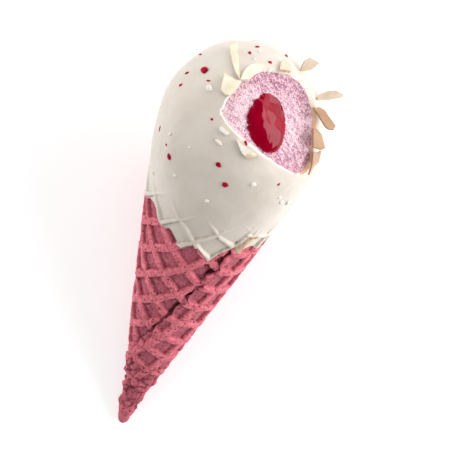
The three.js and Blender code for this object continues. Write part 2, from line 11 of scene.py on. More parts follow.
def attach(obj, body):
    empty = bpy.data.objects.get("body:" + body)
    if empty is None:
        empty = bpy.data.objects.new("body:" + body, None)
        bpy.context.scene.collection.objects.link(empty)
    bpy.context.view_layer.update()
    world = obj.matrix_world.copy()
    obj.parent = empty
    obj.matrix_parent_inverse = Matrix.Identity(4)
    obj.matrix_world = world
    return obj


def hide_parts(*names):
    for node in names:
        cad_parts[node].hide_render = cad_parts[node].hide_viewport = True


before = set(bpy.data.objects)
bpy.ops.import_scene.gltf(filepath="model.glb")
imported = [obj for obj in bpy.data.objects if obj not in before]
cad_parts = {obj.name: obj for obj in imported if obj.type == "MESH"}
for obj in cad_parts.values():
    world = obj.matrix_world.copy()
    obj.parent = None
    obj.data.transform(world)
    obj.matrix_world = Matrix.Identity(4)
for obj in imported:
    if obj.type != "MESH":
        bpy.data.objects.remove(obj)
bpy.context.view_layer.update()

# ---------------------------------------------------------------- waffle cone
# A flat pink waffle sheet, baked between ribbed plates and rolled into a cone while it is hot. Its
# ridges stay proud in squares, its outer end laps over its start, and the tip is pressed shut.
# Shapes are worked out in millimetres in the cone's frame: x to the sky, y aside, z tip to crown.

TURN = 2 * math.pi
half_angle = math.radians(11.83)
flat_depth = 0.35
floor_ease = 0.12
slant_to_rest = 122.0
tip_height = 5.6
tip_round = 3.0
pitch = 9.55
grid_turn = math.radians(47.7)
grid_shift_i = 42.1 / pitch
grid_shift_j = -92.6 / pitch
sheet_lift = 0.35
sheet_wall = 1.75
ridge_height = 1.35
ridge_top = 0.125
ridge_foot = 0.185
edge_i = -7.95
edge_slope = 0.14
seam_sink = 0.55
seam_rise = 0.55
seam_gap = 0.7
overlap = 4.5
sheet_from_slant = 10
sheet_to_height = 115
coat_base = 107.0


def smoothstep(low, high, value):
    """0 up to low, 1 from high on, and 3 x squared minus 2 x cubed of the share between."""
    share = np.clip((value - low) / (high - low), 0, 1)
    return share * share * (3 - 2 * share)


def noise(points, size, seed):
    """Smooth random swells from -1 to 1. Every corner of a cubic grid of that size gets a number
    hashed from its whole-number place, and a point takes the eased blend of its eight corners."""
    cell = np.asarray(points, float) / size
    base = np.floor(cell).astype(np.int64)
    part = cell - base
    part = part * part * (3 - 2 * part)
    total = np.zeros(cell.shape[:-1])
    for corner in np.ndindex(2, 2, 2):
        place = (base + corner) % 65536
        mixed = place[..., 0] * 73856093 + place[..., 1] * 19349663 + place[..., 2] * 83492791
        mixed = (mixed + seed * 2654435 + 12345) % 4294967296
        mixed = (mixed ^ (mixed >> 15)) * 739982445 % 4294967296
        mixed = (mixed ^ (mixed >> 12)) * 695872825 % 4294967296
        value = (mixed ^ (mixed >> 15)) % 65536 / 32767.5 - 1
        weight = np.prod(np.where(np.array(corner) == 1, part, 1 - part), axis=-1)
        total += value * weight
    return total


def flat_map(first, second):
    """Places on a flat map as points: the two coordinates, and 0 for the third."""
    return np.stack([first, second, 0 * first], -1)


def round_axis(radius, turn, at_height):
    """Points at a distance from the cone's axis, an azimuth and a height."""
    parts = np.broadcast_arrays(radius * np.cos(turn), radius * np.sin(turn), at_height)
    return np.stack(parts, -1)


def laid(points):
    """The cone's frame in millimetres to the part's frame in metres: the axis rises by the half
    angle, so that the cone lies on its lowest line, with the flat spot under the origin. Heights
    go to half of h plus the root of h squared plus a small square, which never ends below 0."""
    sky = np.array([-math.sin(half_angle), 0, math.cos(half_angle)])
    side = np.array([0, -1, 0])
    axis = np.array([math.cos(half_angle), 0, math.sin(half_angle)])
    placed = points[..., :1] * sky + points[..., 1:2] * side + points[..., 2:] * axis
    placed = placed + [-slant_to_rest, 0, -flat_depth]
    placed[..., 2] = (placed[..., 2] + np.sqrt(placed[..., 2] ** 2 + floor_ease ** 2)) / 2
    return placed / 1000


def on_sheet(i, j):
    """Slant distance and unrolled azimuth of ridge-grid place (i, j): the grid is turned on the flat
    sheet, and a sheet angle p becomes the cone azimuth p over the sine of the half angle."""
    along_i = (i + grid_shift_i) * pitch
    along_j = (j + grid_shift_j) * pitch
    x = math.cos(grid_turn) * along_i + math.sin(grid_turn) * along_j
    y = math.sin(grid_turn) * along_i - math.cos(grid_turn) * along_j
    return np.hypot(x, y), np.arctan2(x, y) / math.sin(half_angle)


def on_grid(slant, azimuth):
    """Ridge-grid place (i, j) of a slant distance and unrolled azimuth: on_sheet, backwards."""
    x = slant * np.sin(azimuth * math.sin(half_angle))
    y = slant * np.cos(azimuth * math.sin(half_angle))
    i = (math.cos(grid_turn) * x + math.sin(grid_turn) * y) / pitch - grid_shift_i
    j = (math.sin(grid_turn) * x - math.cos(grid_turn) * y) / pitch - grid_shift_j
    return i, j


def on_cone(slant, azimuth, lift):
    """Point at a slant distance from the apex, raised square to the cone's side by the lift."""
    radius = slant * math.sin(half_angle) + lift * math.cos(half_angle)
    height = slant * math.cos(half_angle) - lift * math.sin(half_angle)
    return round_axis(radius, azimuth, height)


def ridge(coordinate, top=ridge_top, foot=ridge_foot):
    """1 on a ridge's top and 0 in a pocket, eased across the flank between top and foot."""
    return 1 - smoothstep(top, foot, np.abs(coordinate - np.round(coordinate)))


edge_j = np.linspace(9.6, -6.5, 200)
edge_slant, edge_azimuth = on_sheet(edge_i + edge_slope * edge_j, edge_j)


def seam_azimuth(slant):
    """Unrolled azimuth of the sheet's outer end: the edge line's azimuth at that slant distance."""
    return np.interp(slant, edge_slant, edge_azimuth)


def seam_open(slant):
    """0 where the sheet's end lies close on the turn below, 1 where it gapes: random swells."""
    return smoothstep(-0.3, 0.15, noise(flat_map(slant, 0 * slant), 3.4, 9))


def roll_lift(slant, azimuth):
    """Height of the ridge tops over the cone: sunk near the start, which the end laps over, and
    proud near the end, both faded out towards the tip."""
    reach = slant * math.sin(half_angle)
    from_edge = (azimuth - seam_azimuth(slant)) * reach
    from_start = from_edge - TURN * reach
    gape = seam_gap * seam_open(slant) * smoothstep(-1.6, -0.3, from_start)
    sunk = seam_sink * smoothstep(-12, -1, from_start) + gape
    proud = seam_rise * (1 - smoothstep(0, 12, from_edge))
    return sheet_lift - sunk * smoothstep(12, 40, slant) + proud * smoothstep(22, 60, slant)


def crushed_near_tip(slant):
    """0 where the sheet is as baked, and up to 1 where the roll was pressed shut at the tip."""
    return 1 - smoothstep(16, 60, slant)


def sheet_warp(i, j):
    """How far the hot sheet was pulled out of its true grid, in shares of a square: smooth random
    swells of three sizes, the widest much stronger near the tip."""
    flat = flat_map(i * pitch, j * pitch)
    wide = 0.035 + 0.1 * crushed_near_tip(on_sheet(i, j)[0])
    pulls = [
        wide * noise(flat, 7.0, seed)
        + 0.026 * noise(flat, 1.8, seed + 1)
        + 0.016 * noise(flat, 0.7, seed + 2)
        for seed in (11, 21)
    ]
    return pulls[0], pulls[1]


def cracks(i, j, slant):
    """1 along the thin folds and cracks near the tip: where slow random swells cross 0."""
    flat = flat_map(i * pitch, j * pitch)
    crossing = np.minimum(np.abs(noise(flat, 4.2, 35)), np.abs(noise(flat, 3.1, 36)))
    return (1 - smoothstep(0.03, 0.13, crossing)) * smoothstep(0.15, 0.6, crushed_near_tip(slant))


def wafer_relief(i, j, slant):
    """Height of the baked face under the ridge tops: the squares sink, near the tip the squares of
    the turn below press through, crumbs stand up by random swells, and rare bubbles sink in."""
    crushed = crushed_near_tip(slant)
    low = 1 - np.maximum(ridge(i), ridge(j))
    pressed = 1 - np.maximum(ridge(i + 0.42, 0.05, 0.2), ridge(j + 0.31, 0.05, 0.2))
    share = 0.55 * crushed
    flat = flat_map(i * pitch, j * pitch)
    crumb = (
        (0.11 + 0.4 * crushed) * noise(flat, 2.6, 31)
        + 0.1 * noise(flat, 1.1, 32)
        + 0.05 * noise(flat, 0.55, 33)
        - 0.34 * smoothstep(0.4, 0.62, noise(flat, 0.9, 34))
        - 0.6 * cracks(i, j, slant)
    )
    sink = ridge_height * (low * (1 - share) + pressed * share) * smoothstep(9, 28, slant)
    return crumb * smoothstep(5, 14, slant) - sink


def dip_height(azimuth):
    """Height of the coating's lower edge: a zigzag from ridge to ridge round the cone, and on the
    shown side the places where it stops at each ridge."""
    degrees = (np.degrees(azimuth) + 180) % 360 - 180
    phase = (degrees - 18) * 11 / 360
    zigzag = 4 * np.abs(phase - np.floor(phase + 0.5)) - 1
    far = coat_base - 2.5 * np.cos(azimuth) + 2.2 * zigzag
    shown = np.array([
        [-67, 107.4], [-53, 109.3], [-42, 107.5], [-35, 105.8], [-24, 105.6], [-15, 102.4],
        [-8, 101.9], [-3, 104.6], [5, 104.8], [18, 100.0], [22, 103.0], [26, 105.5], [33, 107.4],
        [43, 106.2], [52, 107.6], [66, 105.9],
    ])
    near = np.interp(degrees, shown[:, 0], shown[:, 1])
    share = smoothstep(62, 74, np.abs(degrees))
    return near * (1 - share) + far * share


def outward(points, faces):
    """The faces, turned over if the solid's signed volume is negative."""
    a, b, c, d = (points[faces[:, k]] for k in range(4))
    volume = np.sum(a * np.cross(b, c)) + np.sum(a * np.cross(c, d))
    return faces if volume > 0 else faces[:, ::-1]


def put_piece(name, points, faces, marks=None):
    """A mesh object from points in the cone's frame and four-cornered faces, where a face with its
    last two corners alike is a triangle. marks are numbers per point that its material reads."""
    used, compact = np.unique(faces, return_inverse=True)
    placed = laid(points[used])
    faces = outward(placed, compact.reshape(faces.shape))
    triangle = faces[:, 2] == faces[:, 3]
    front = faces[:, 0] == faces[:, 1]
    quads = faces[~triangle & ~front]
    thirds = np.concatenate([faces[triangle][:, :3], faces[front][:, 1:]])
    corners = np.concatenate([quads.ravel(), thirds.ravel()])
    starts = np.concatenate([
        np.arange(len(quads)) * 4, len(quads) * 4 + np.arange(len(thirds)) * 3,
    ])
    mesh = bpy.data.meshes.new(name)
    mesh.vertices.add(len(placed))
    mesh.vertices.foreach_set("co", placed.astype(np.float32).ravel())
    mesh.loops.add(len(corners))
    mesh.loops.foreach_set("vertex_index", corners.astype(np.int32))
    mesh.polygons.add(len(starts))
    mesh.polygons.foreach_set("loop_start", starts.astype(np.int32))
    mesh.polygons.foreach_set("use_smooth", np.ones(len(starts), bool))
    mesh.update(calc_edges=True)
    for mark, values in (marks or {}).items():
        layer = mesh.attributes.new(mark, "FLOAT", "POINT")
        layer.data.foreach_set("value", np.asarray(values, np.float32)[used])
    piece = bpy.data.objects.new(name, mesh)
    bpy.context.scene.collection.objects.link(piece)
    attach(piece, "root")
    return piece


def tiled_solid(top, bottom, keep):
    """Points and faces of a closed slab: the kept tiles of two point grids, and a wall wherever a
    kept tile has no kept neighbour."""
    rows, columns = keep.shape
    index = np.arange((rows + 1) * (columns + 1)).reshape(rows + 1, columns + 1)
    under = index.size
    tiles = np.stack([index[:-1, :-1], index[:-1, 1:], index[1:, 1:], index[1:, :-1]], -1)
    beside = np.pad(keep, 1)
    open_sides = [beside[:-2, 1:-1], beside[1:-1, 2:], beside[2:, 1:-1], beside[1:-1, :-2]]
    faces = [tiles[keep], tiles[keep][:, ::-1] + under]
    for side, neighbour in enumerate(open_sides):
        first = tiles[keep & ~neighbour][:, side]
        second = tiles[keep & ~neighbour][:, (side + 1) % 4]
        faces.append(np.stack([second, first, first + under, second + under], -1))
    points = np.concatenate([top.reshape(-1, 3), bottom.reshape(-1, 3)])
    return points, np.concatenate(faces)


def ring_faces(rows, columns, first=0, closed=False):
    """Faces of a grid of rings, each ring closed on itself; closed also joins last ring to first."""
    index = first + np.arange(rows * columns).reshape(rows, columns)
    after = np.roll(index, -1, axis=1)
    low = np.arange(rows if closed else rows - 1)
    high = (low + 1) % rows
    return np.stack([index[low], after[low], after[high], index[high]], -1).reshape(-1, 4)


def capped_rings(rings):
    """Points and faces of a closed skin through rings, with a fan over the first and the last."""
    rows, columns = rings.shape[:2]
    points = np.concatenate([
        rings.reshape(-1, 3), rings[:1].mean(axis=1), rings[-1:].mean(axis=1),
    ])
    ring = np.arange(columns)
    after = np.roll(ring, -1)
    start = np.full(columns, rows * columns)
    last = (rows - 1) * columns
    fans = [
        np.stack([after, ring, start, start], -1),
        np.stack([ring + last, after + last, start + 1, start + 1], -1),
    ]
    return points, np.concatenate([ring_faces(rows, columns), *fans])


grid_offsets = np.array([
    -0.42, -0.33, -0.25, -0.2, -0.18, -0.165, -0.15, -0.12, -0.06, 0.0, 0.06, 0.12, 0.15, 0.165,
    0.18, 0.2, 0.25, 0.33, 0.42, 0.5,
])
rows_j = (np.arange(-5, 10)[:, None] + grid_offsets).ravel()
lines_i = (np.arange(-8, 10)[:, None] + grid_offsets).ravel()
lines_i = lines_i[lines_i > -7.75]
edge_steps = np.array([0, 0.012, 0.03, 0.06, 0.1])

grid_j = np.repeat(rows_j[:, None], len(edge_steps) + len(lines_i), axis=1)
flat_place = flat_map(0 * grid_j, grid_j * pitch)
edge_wobble = 0.11 * noise(flat_place, 4.0, 3) + 0.08 * noise(flat_place, 1.3, 4)
edge_here = edge_i + edge_slope * grid_j + edge_wobble
crowded = edge_here[:, len(edge_steps):] + 0.1 + 0.015 * (1 + np.arange(len(lines_i)))
grid_i = np.concatenate([
    edge_here[:, :len(edge_steps)] + edge_steps,
    np.maximum(lines_i[None, :], crowded),
], axis=1)
warp_i, warp_j = sheet_warp(grid_i, grid_j)
slant, azimuth = on_sheet(grid_i + warp_i, grid_j + warp_j)
height = slant * math.cos(half_angle)
rounded_edge = 1 - np.sqrt(1 - (1 - np.clip((grid_i - edge_here) / 0.06, 0, 1)) ** 2)
hidden_sink = 1.5 * smoothstep(-0.1, 0.6, height - dip_height(azimuth))
tip_sink = 1.0 * (1 - smoothstep(10.0, 12.0, slant))
# The turned-in end of the roll makes a lump on the left, close to the tip.
from_left = (azimuth + math.pi / 2 + math.pi) % TURN - math.pi
folded_lump = 1.1 * np.exp(-((slant - 16.6) / 2.0) ** 2 - (from_left / 0.55) ** 2)
top_lift = (
    roll_lift(slant, azimuth)
    + folded_lump
    + wafer_relief(grid_i, grid_j, slant)
    - 0.45 * rounded_edge
    - hidden_sink
    - tip_sink
)
back_lift = roll_lift(slant, azimuth) - sheet_wall - tip_sink
raised = np.maximum(ridge(grid_i), ridge(grid_j))
around_mm = slant * math.sin(half_angle)
behind_seam = (azimuth - seam_azimuth(slant) - TURN) * around_mm
# Painted shade in the dark gap under the sheet's outer end, and in the cracks near the tip.
seam_shadow = (0.3 + 0.7 * seam_open(slant)) * smoothstep(-1.8, -0.4, behind_seam)
crease = np.maximum(seam_shadow, cracks(grid_i, grid_j, slant))
# Painted shade: a pocket is darker beside a ridge, most under the ridge towards the crown, less at its
# sides, like the shadow of light from the crown side.
for up_mm, aside_mm, strength in [
    (0.35, 0, 1), (0.6, 0, 1), (0.85, 0, 0.8), (0, 0.45, 0.55), (0, -0.45, 0.7), (0, -0.7, 0.4),
]:
    near_i, near_j = on_grid(slant + up_mm, azimuth + aside_mm / around_mm)
    near = np.maximum(ridge(near_i - warp_i), ridge(near_j - warp_j))
    crease = np.maximum(crease, strength * np.clip(near - raised, 0, 1))
# Darker towards the tip.
crease = np.maximum(crease, 0.21 * (1 - smoothstep(20, 70, slant)))
middle_slant = (slant[:-1, :-1] + slant[1:, 1:]) / 2
middle_azimuth = (azimuth[:-1, :-1] + azimuth[1:, 1:]) / 2
past_start = (middle_azimuth - seam_azimuth(middle_slant) - TURN) * middle_slant
keep_tiles = (
    (middle_slant > sheet_from_slant)
    & (middle_slant * math.cos(half_angle) < sheet_to_height)
    & (past_start * math.sin(half_angle) < overlap)
)
sheet_points, sheet_faces = tiled_solid(
    on_cone(slant, azimuth, top_lift), on_cone(slant, azimuth, back_lift), keep_tiles,
)

tip_heights = np.concatenate([
    tip_height + tip_round * (1 - np.cos(np.linspace(0.12, math.pi / 2, 9))),
    np.linspace(tip_height + tip_round + 0.6, 30, 34),
])[:, None]
tip_turn = np.linspace(0, TURN, 72, endpoint=False)[None, :]
near_tip = np.clip((tip_height + tip_round - tip_heights) / tip_round, 0, 1)
tip_radius = tip_heights * math.tan(half_angle) * np.sqrt(1 - near_tip ** 2)
tip_place = round_axis(tip_radius, tip_turn, tip_heights)
tip_bumps = 0.26 * noise(tip_place, 2.4, 41) + 0.1 * noise(tip_place, 1.0, 42)
tip_shrink = 2.1 * smoothstep(13, 19, tip_heights)
tip_swell = np.clip((tip_radius + 0.4 + tip_bumps - tip_shrink) / tip_radius, 0.05, 2)
tip_place[..., :2] *= tip_swell[..., None]
tip_points, tip_faces = capped_rings(tip_place)

wafer_points = np.concatenate([sheet_points, tip_points])
wafer_faces = np.concatenate([sheet_faces, tip_faces + len(sheet_points)])
tip_mark = np.ones(len(tip_points))
wafer_marks = {
    "raised": np.concatenate([raised.ravel(), 0 * raised.ravel(), 0.6 * tip_mark]),
    # Painted shade: the sheet's underside is fully dark, and the tip's cap as dark as the sheet near
    # the tip.
    "crease": np.concatenate([crease.ravel(), 1 + 0 * raised.ravel(), 0.21 * tip_mark]),
}
wafer = put_piece("wafer_cone", wafer_points, wafer_faces, wafer_marks)


def shader(name):
    """Tools for a new material: add makes a node from settings and inputs, place is the place on
    the object, and dress feeds the main shader's own sockets and gives the material."""
    material = bpy.data.materials.new(name)
    material.use_nodes = True
    tree = material.node_tree
    surface = tree.nodes["Principled BSDF"]

    def feed(target, value):
        if isinstance(value, bpy.types.NodeSocket):
            tree.links.new(value, target)
        else:
            target.default_value = value

    def add(kind, settings=None, **inputs):
        node = tree.nodes.new("ShaderNode" + kind)
        for setting, value in (settings or {}).items():
            setattr(node, setting, value)
        for socket, value in inputs.items():
            feed(node.inputs[int(socket[1:]) if socket[1:].isdigit() else socket], value)
        return node

    def dress(sockets):
        for socket, value in sockets.items():
            feed(surface.inputs[socket], value)
        return material

    return add, add("TexCoord").outputs["Object"], dress


def colour(red, green, blue):
    """Linear colour with full alpha from the 0 to 255 values of a picture."""
    shares = np.array([red, green, blue]) / 255
    linear = np.where(shares <= 0.04045, shares / 12.92, ((shares + 0.055) / 1.055) ** 2.4)
    return (*map(float, linear), 1.0)


def ramp(add, amount, stops):
    """A colour ramp's colour, from stops of place and colour, driven by amount."""
    node = add("ValToRGB", _0=amount)
    while len(node.color_ramp.elements) < len(stops):
        node.color_ramp.elements.new(0.5)
    for element, (place, shade) in zip(node.color_ramp.elements, stops.items()):
        element.position = place
        element.color = colour(*shade)
    return node.outputs[0]


def mix(add, blend, share, first, second):
    """A colour mix node's result."""
    node = add("Mix", {"data_type": "RGBA", "blend_type": blend}, _0=share, _6=first, _7=second)
    return node.outputs[2]


def calc(add, operation, *values):
    """A maths node's result."""
    inputs = {f"_{number}": value for number, value in enumerate(values)}
    return add("Math", {"operation": operation}, **inputs).outputs[0]


def rescaled(add, value, low, high, to_low=0.0, to_high=1.0):
    """The value, with low to high drawn out to to_low to to_high."""
    return add("MapRange", _0=value, _1=low, _2=high, _3=to_low, _4=to_high).outputs[0]


def clouds(add, place, scale, detail, roughness):
    """A noise texture's strength, with its scale in swells a metre."""
    node = add("TexNoise", Vector=place, Scale=scale, Detail=detail, Roughness=roughness)
    return node.outputs["Fac"]


def marked(add, name):
    """The number that the mesh keeps for each point under a name."""
    return add("Attribute", {"attribute_name": name}).outputs["Fac"]


def bumped(add, level, strength, distance):
    """The surface's direction with a fine relief that no mesh holds."""
    return add("Bump", Height=level, Strength=strength, Distance=distance).outputs[0]


def wafer_finish():
    """Dry baked crust, mottled, with painted shade: darker in the squares, dark in the creases beside
    the ridges and in the fine pores.
    """
    add, place, dress = shader("pink_waffle")
    # Painted shade: the squares are coloured darker than the ridge tops.
    base = ramp(add, marked(add, "raised"), {0.0: (214, 122, 137), 1.0: (250, 142, 156)})
    # Painted shade: dark maroon in the creases beside the ridges, the seam's gap, the tip's cracks and
    # the sheet's underside.
    in_painted_shade = calc(add, "MULTIPLY", marked(add, "crease"), 0.78)
    base = mix(add, "MIX", in_painted_shade, base, colour(104, 22, 42))
    mottle = clouds(add, place, 420.0, 4.0, 0.65)
    shade = ramp(add, mottle, {0.3: (210, 172, 180), 0.7: (255, 255, 255)})
    base = mix(add, "MULTIPLY", 0.75, base, shade)
    crumbs_seen = clouds(add, place, 1150.0, 3.0, 0.7)
    shade = ramp(add, crumbs_seen, {0.36: (208, 184, 190), 0.56: (255, 255, 255)})
    base = mix(add, "MULTIPLY", 0.85, base, shade)
    # Painted shade: rare pores are coloured dark as the shade in such small holes; the bump also dents
    # them.
    cells = add("TexVoronoi", Vector=place, Scale=640.0, Randomness=1.0)
    chance = add("SeparateColor", Color=cells.outputs["Color"]).outputs[0]
    rare = calc(add, "GREATER_THAN", chance, 0.5)
    past_pore = rescaled(add, cells.outputs["Distance"], 0.16, 0.3)
    no_pore = calc(add, "MAXIMUM", past_pore, rare)
    base = mix(add, "MIX", no_pore, colour(112, 34, 52), base)
    grain = clouds(add, place, 1500.0, 5.0, 0.7)
    relief = calc(add, "MULTIPLY_ADD", no_pore, 1.2, grain)
    return dress({
        "Base Color": base,
        "Normal": bumped(add, relief, 0.55, 0.00022),
        "Roughness": 0.72,
        "Specular IOR Level": 0.3,
        "Subsurface Weight": 0.12,
        "Subsurface Radius": (1.0, 0.35, 0.3),
        "Subsurface Scale": 0.0006,
    })


wafer.data.materials.append(wafer_finish())
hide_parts("wafer")

# ---------------------------------------------------------------- white coating
# White coating that the filled cone is dipped in up to the crown. It set smooth and about 1.3 mm
# thick over the ball, thin over the waffle's ridges, and it ends in steps along them.

ball_centre = 135.7
ball_radius_most = 28.35
ball_crown = 34.15
ball_power = 2.33
ball_blend = 0.57
coat_wall = 1.3
coat_over_ridge = 0.15
coat_relief = 1.15
bite_centre = np.array([15.6, 7.9, 156.9])


def unit(vectors):
    """Vectors scaled to a length of 1."""
    return vectors / np.linalg.norm(vectors, axis=-1, keepdims=True)


bite_facing = unit(np.array([0.661, 0.409, 0.629]))
bite_u = unit(np.cross([0, 0, 1], bite_facing))
bite_v = np.cross(bite_facing, bite_u)
bite_outline = np.array([
    [2.0, 17.1], [-3.1, 16.9], [-8.2, 14.5], [-11.5, 12.1], [-14.8, 8.0], [-16.2, 5.3],
    [-17.2, 2.6], [-17.2, 1.2], [-16.2, -0.8], [-14.3, -3.5], [-11.9, -5.8], [-8.9, -8.0],
    [-5.7, -10.2], [-1.8, -12.3], [2.5, -14.2], [7.2, -15.8], [11.1, -16.4], [14.9, -15.9],
    [16.8, -14.2], [17.6, -12.4], [17.3, -10.2], [16.5, -7.6], [16.4, -4.0], [16.3, -1.3],
    [15.9, 2.9], [15.3, 6.2], [14.7, 9.6], [13.4, 12.9], [10.9, 15.5], [6.7, 17.1],
])


def ball_radius(at_height):
    """Radius of the coated shape: the cone's line and a squarish crown, blended where they meet."""
    rise = np.clip((at_height - ball_centre) / ball_crown, 0, 1)
    crown = ball_radius_most * (1 - rise ** ball_power) ** (1 / ball_power)
    cone = np.minimum(at_height * math.tan(half_angle), 2 * ball_radius_most)
    return -ball_blend * np.log(np.exp(-cone / ball_blend) + np.exp(-crown / ball_blend))


def lumps(turn, at_height):
    """Shallow uneven swells of the dipped ball: waves that lean as they climb, in two sizes."""
    slow = np.sin(3 * turn + 0.11 * at_height) * np.cos(2 * turn - 0.17 * at_height + 1)
    quick = np.sin(5 * turn - 0.23 * at_height + 2) * np.sin(0.19 * at_height + 3 * turn)
    fade = smoothstep(121, 130, at_height) * (1 - smoothstep(160, 169, at_height))
    return 0.22 * (slow + 0.6 * quick) * fade


# Profile table from the dip up to the crown: height, radius, outward normal, and the disc radius,
# which makes a flat map of the ball without stretching it in one direction more than the other.
profile_share = np.linspace(0, 1, 1600)
profile_low = 92
profile_reach = ball_centre + ball_crown - 0.004 - profile_low
profile_height = profile_low + profile_reach * np.sin(profile_share * math.pi / 2)
profile_radius = np.maximum(ball_radius(profile_height), 0.02)
step_radius = np.gradient(profile_radius)
step_height = np.gradient(profile_height)
step_length = np.hypot(step_radius, step_height)
normal_out = step_height / step_length
normal_up = -step_radius / step_length
log_step = step_length / profile_radius
disc_log = -np.concatenate([[0], np.cumsum(log_step[1:] + log_step[:-1]) / 2])


def on_disc(turn, at_height):
    """Flat map of the ball: crown at 0, circles of one height as circles, as a complex number."""
    return np.exp(np.interp(at_height, profile_height, disc_log) + 1j * turn)


def off_disc(place):
    """Azimuth and height of a place on the flat map."""
    low_first = np.log(np.maximum(np.abs(place), 1e-9))
    return np.angle(place), np.interp(low_first, disc_log[::-1], profile_height[::-1])


bite_turn = math.atan2(bite_centre[1], bite_centre[0])
disc_shift = 0.62 * on_disc(bite_turn, bite_centre[2])


def centred(place):
    """The flat map shifted so that the bite lies round 0 and the outer circle stays a circle."""
    return (place - disc_shift) / (1 - np.conj(disc_shift) * place)


def uncentred(place):
    """The shift of centred, backwards."""
    return (place + disc_shift) / (1 + np.conj(disc_shift) * place)


def in_bite(u, v, rise):
    """Point of the cone's frame from the bite's own axes: u aside, v to the crown, rise outwards."""
    return bite_centre + u[..., None] * bite_u + v[..., None] * bite_v + rise[..., None] * bite_facing


def last_inside(low, high, is_inside):
    """The largest value between low and high that is still inside, found by halving."""
    for _ in range(30):
        middle = (low + high) / 2
        within = is_inside(middle)
        low, high = np.where(within, middle, low), np.where(within, high, middle)
    return low


def rise_to_ball(u, v, inside):
    """Rise at which a line through (u, v) leaves the ball shrunk by inside."""

    def is_inside(rise):
        point = in_bite(u, v, rise)
        radius = np.hypot(point[..., 0], point[..., 1])
        return radius < ball_radius(point[..., 2] + inside * normal_near(point)) - inside

    return last_inside(np.full(u.shape, -12.0), np.full(u.shape, 14.0), is_inside)


def normal_near(point):
    """Upward share of the ball's normal near a point."""
    return np.interp(point[..., 2], profile_height, normal_up)


def around(values, angles, wanted):
    """Values given at unsorted angles, read at the wanted angles, round the full circle."""
    order = np.argsort(angles)
    return np.interp(wanted, angles[order], values[order], period=TURN)


def past_seam(turn, at_height):
    """Distance round the cone from the sheet's outer end, less than 0 on the side it laps over."""
    sheet_slant = at_height / math.cos(half_angle)
    signed = (turn - seam_azimuth(sheet_slant) + math.pi) % TURN - math.pi
    return signed * sheet_slant * math.sin(half_angle)


def coat_on_turn(unrolled, at_height, from_dip):
    """Height of the coating over one turn of the sheet: it follows ridges and squares, softened,
    its ridges narrow to points where the ball begins, and it rounds down to the wafer at the dip."""
    sheet_slant = at_height / math.cos(half_angle)
    i, j = on_grid(sheet_slant, unrolled)
    warp_i, warp_j = sheet_warp(i, j)
    i, j = i - warp_i, j - warp_j
    shows = 1 - smoothstep(106, 121, at_height)
    top = 0.055 * shows
    low = 1 - np.maximum(ridge(i, top, top + 0.07), ridge(j, top, top + 0.07))
    rolled = roll_lift(sheet_slant, unrolled)
    lift = (rolled + coat_over_ridge - coat_relief * low) * shows
    bare = rolled + wafer_relief(i, j, sheet_slant) - 0.1
    edge = np.clip(from_dip / 0.7, 0, 1)
    return bare + (lift - bare) * np.sqrt(1 - (1 - edge) ** 2)


def seam_crack(turn, at_height):
    """1 in the crack that the coating got over the sheet's end, 0 beside and above it."""
    across = past_seam(turn, at_height)
    return np.exp(-((across + 0.3) / 0.5) ** 2) * (1 - smoothstep(105.5, 108.5, at_height))


def coat_lift(turn, at_height):
    """Height of the coating over the cone's side: that over the outer end on one side of the seam,
    that over the turn below on the other, eased into each other, less the crack."""
    across = past_seam(turn, at_height)
    reach = at_height * math.tan(half_angle)
    unrolled = seam_azimuth(at_height / math.cos(half_angle)) + across / reach
    from_dip = at_height - dip_height(turn)
    on_end = coat_on_turn(unrolled, at_height, from_dip)
    on_start = coat_on_turn(unrolled + TURN, at_height, from_dip)
    share = smoothstep(-0.9, 0.5, across)
    return on_start + (on_end - on_start) * share - 0.7 * seam_crack(turn, at_height)


def coat_outside(turn, at_height):
    """Outer face of the coating and its smooth normal, from azimuth and height."""
    radius = np.interp(at_height, profile_height, profile_radius)
    out = np.interp(at_height, profile_height, normal_out)
    up = np.interp(at_height, profile_height, normal_up)
    normal = round_axis(out, turn, up)
    base = round_axis(radius, turn, at_height)
    soft = 0.32 * noise(base, 9.0, 51) + 0.13 * noise(base, 3.6, 52) + 0.02 * noise(base, 1.2, 53)
    on_ball = smoothstep(112, 127, at_height)
    offset = coat_lift(turn, at_height) + lumps(turn, at_height) + soft * (0.15 + 0.85 * on_ball)
    return base + normal * offset[..., None], normal


ring_count = 480
outer_rows = 170
ring_angle = np.linspace(-math.pi, math.pi, ring_count, endpoint=False)
walk = np.linspace(0, len(bite_outline), 1760, endpoint=False)
corner_number = np.arange(len(bite_outline) + 1)
corner_u, corner_v = np.append(bite_outline, bite_outline[:1], axis=0).T
rim_u = np.interp(walk, corner_number, corner_u)
rim_v = np.interp(walk, corner_number, corner_v)
rim_flat = flat_map(rim_u, rim_v)
rim_rough = 1 + 0.012 * noise(rim_flat, 2.2, 61) + 0.007 * noise(rim_flat, 0.8, 62)
rim_u, rim_v = rim_u * rim_rough, rim_v * rim_rough
rim_point = in_bite(rim_u, rim_v, rise_to_ball(rim_u, rim_v, 0.0))
rim_place = centred(on_disc(np.arctan2(rim_point[:, 1], rim_point[:, 0]), rim_point[:, 2]))
rim_log = around(np.log(np.abs(rim_place)), np.angle(rim_place), ring_angle)
ring_u = around(rim_u, np.angle(rim_place), ring_angle)
ring_v = around(rim_v, np.angle(rim_place), ring_angle)

dip_turn = np.linspace(0, TURN, 2400, endpoint=False)
dip_place = centred(on_disc(dip_turn, dip_height(dip_turn)))
dip_log = around(np.log(np.abs(dip_place)), np.angle(dip_place), ring_angle)

row_share = np.linspace(0, 1, outer_rows)[:, None]
ring_log = rim_log * (1 - row_share) + dip_log * row_share
coat_turn, coat_height = off_disc(uncentred(np.exp(ring_log + 1j * ring_angle)))
coat_skin, _ = coat_outside(coat_turn, coat_height)

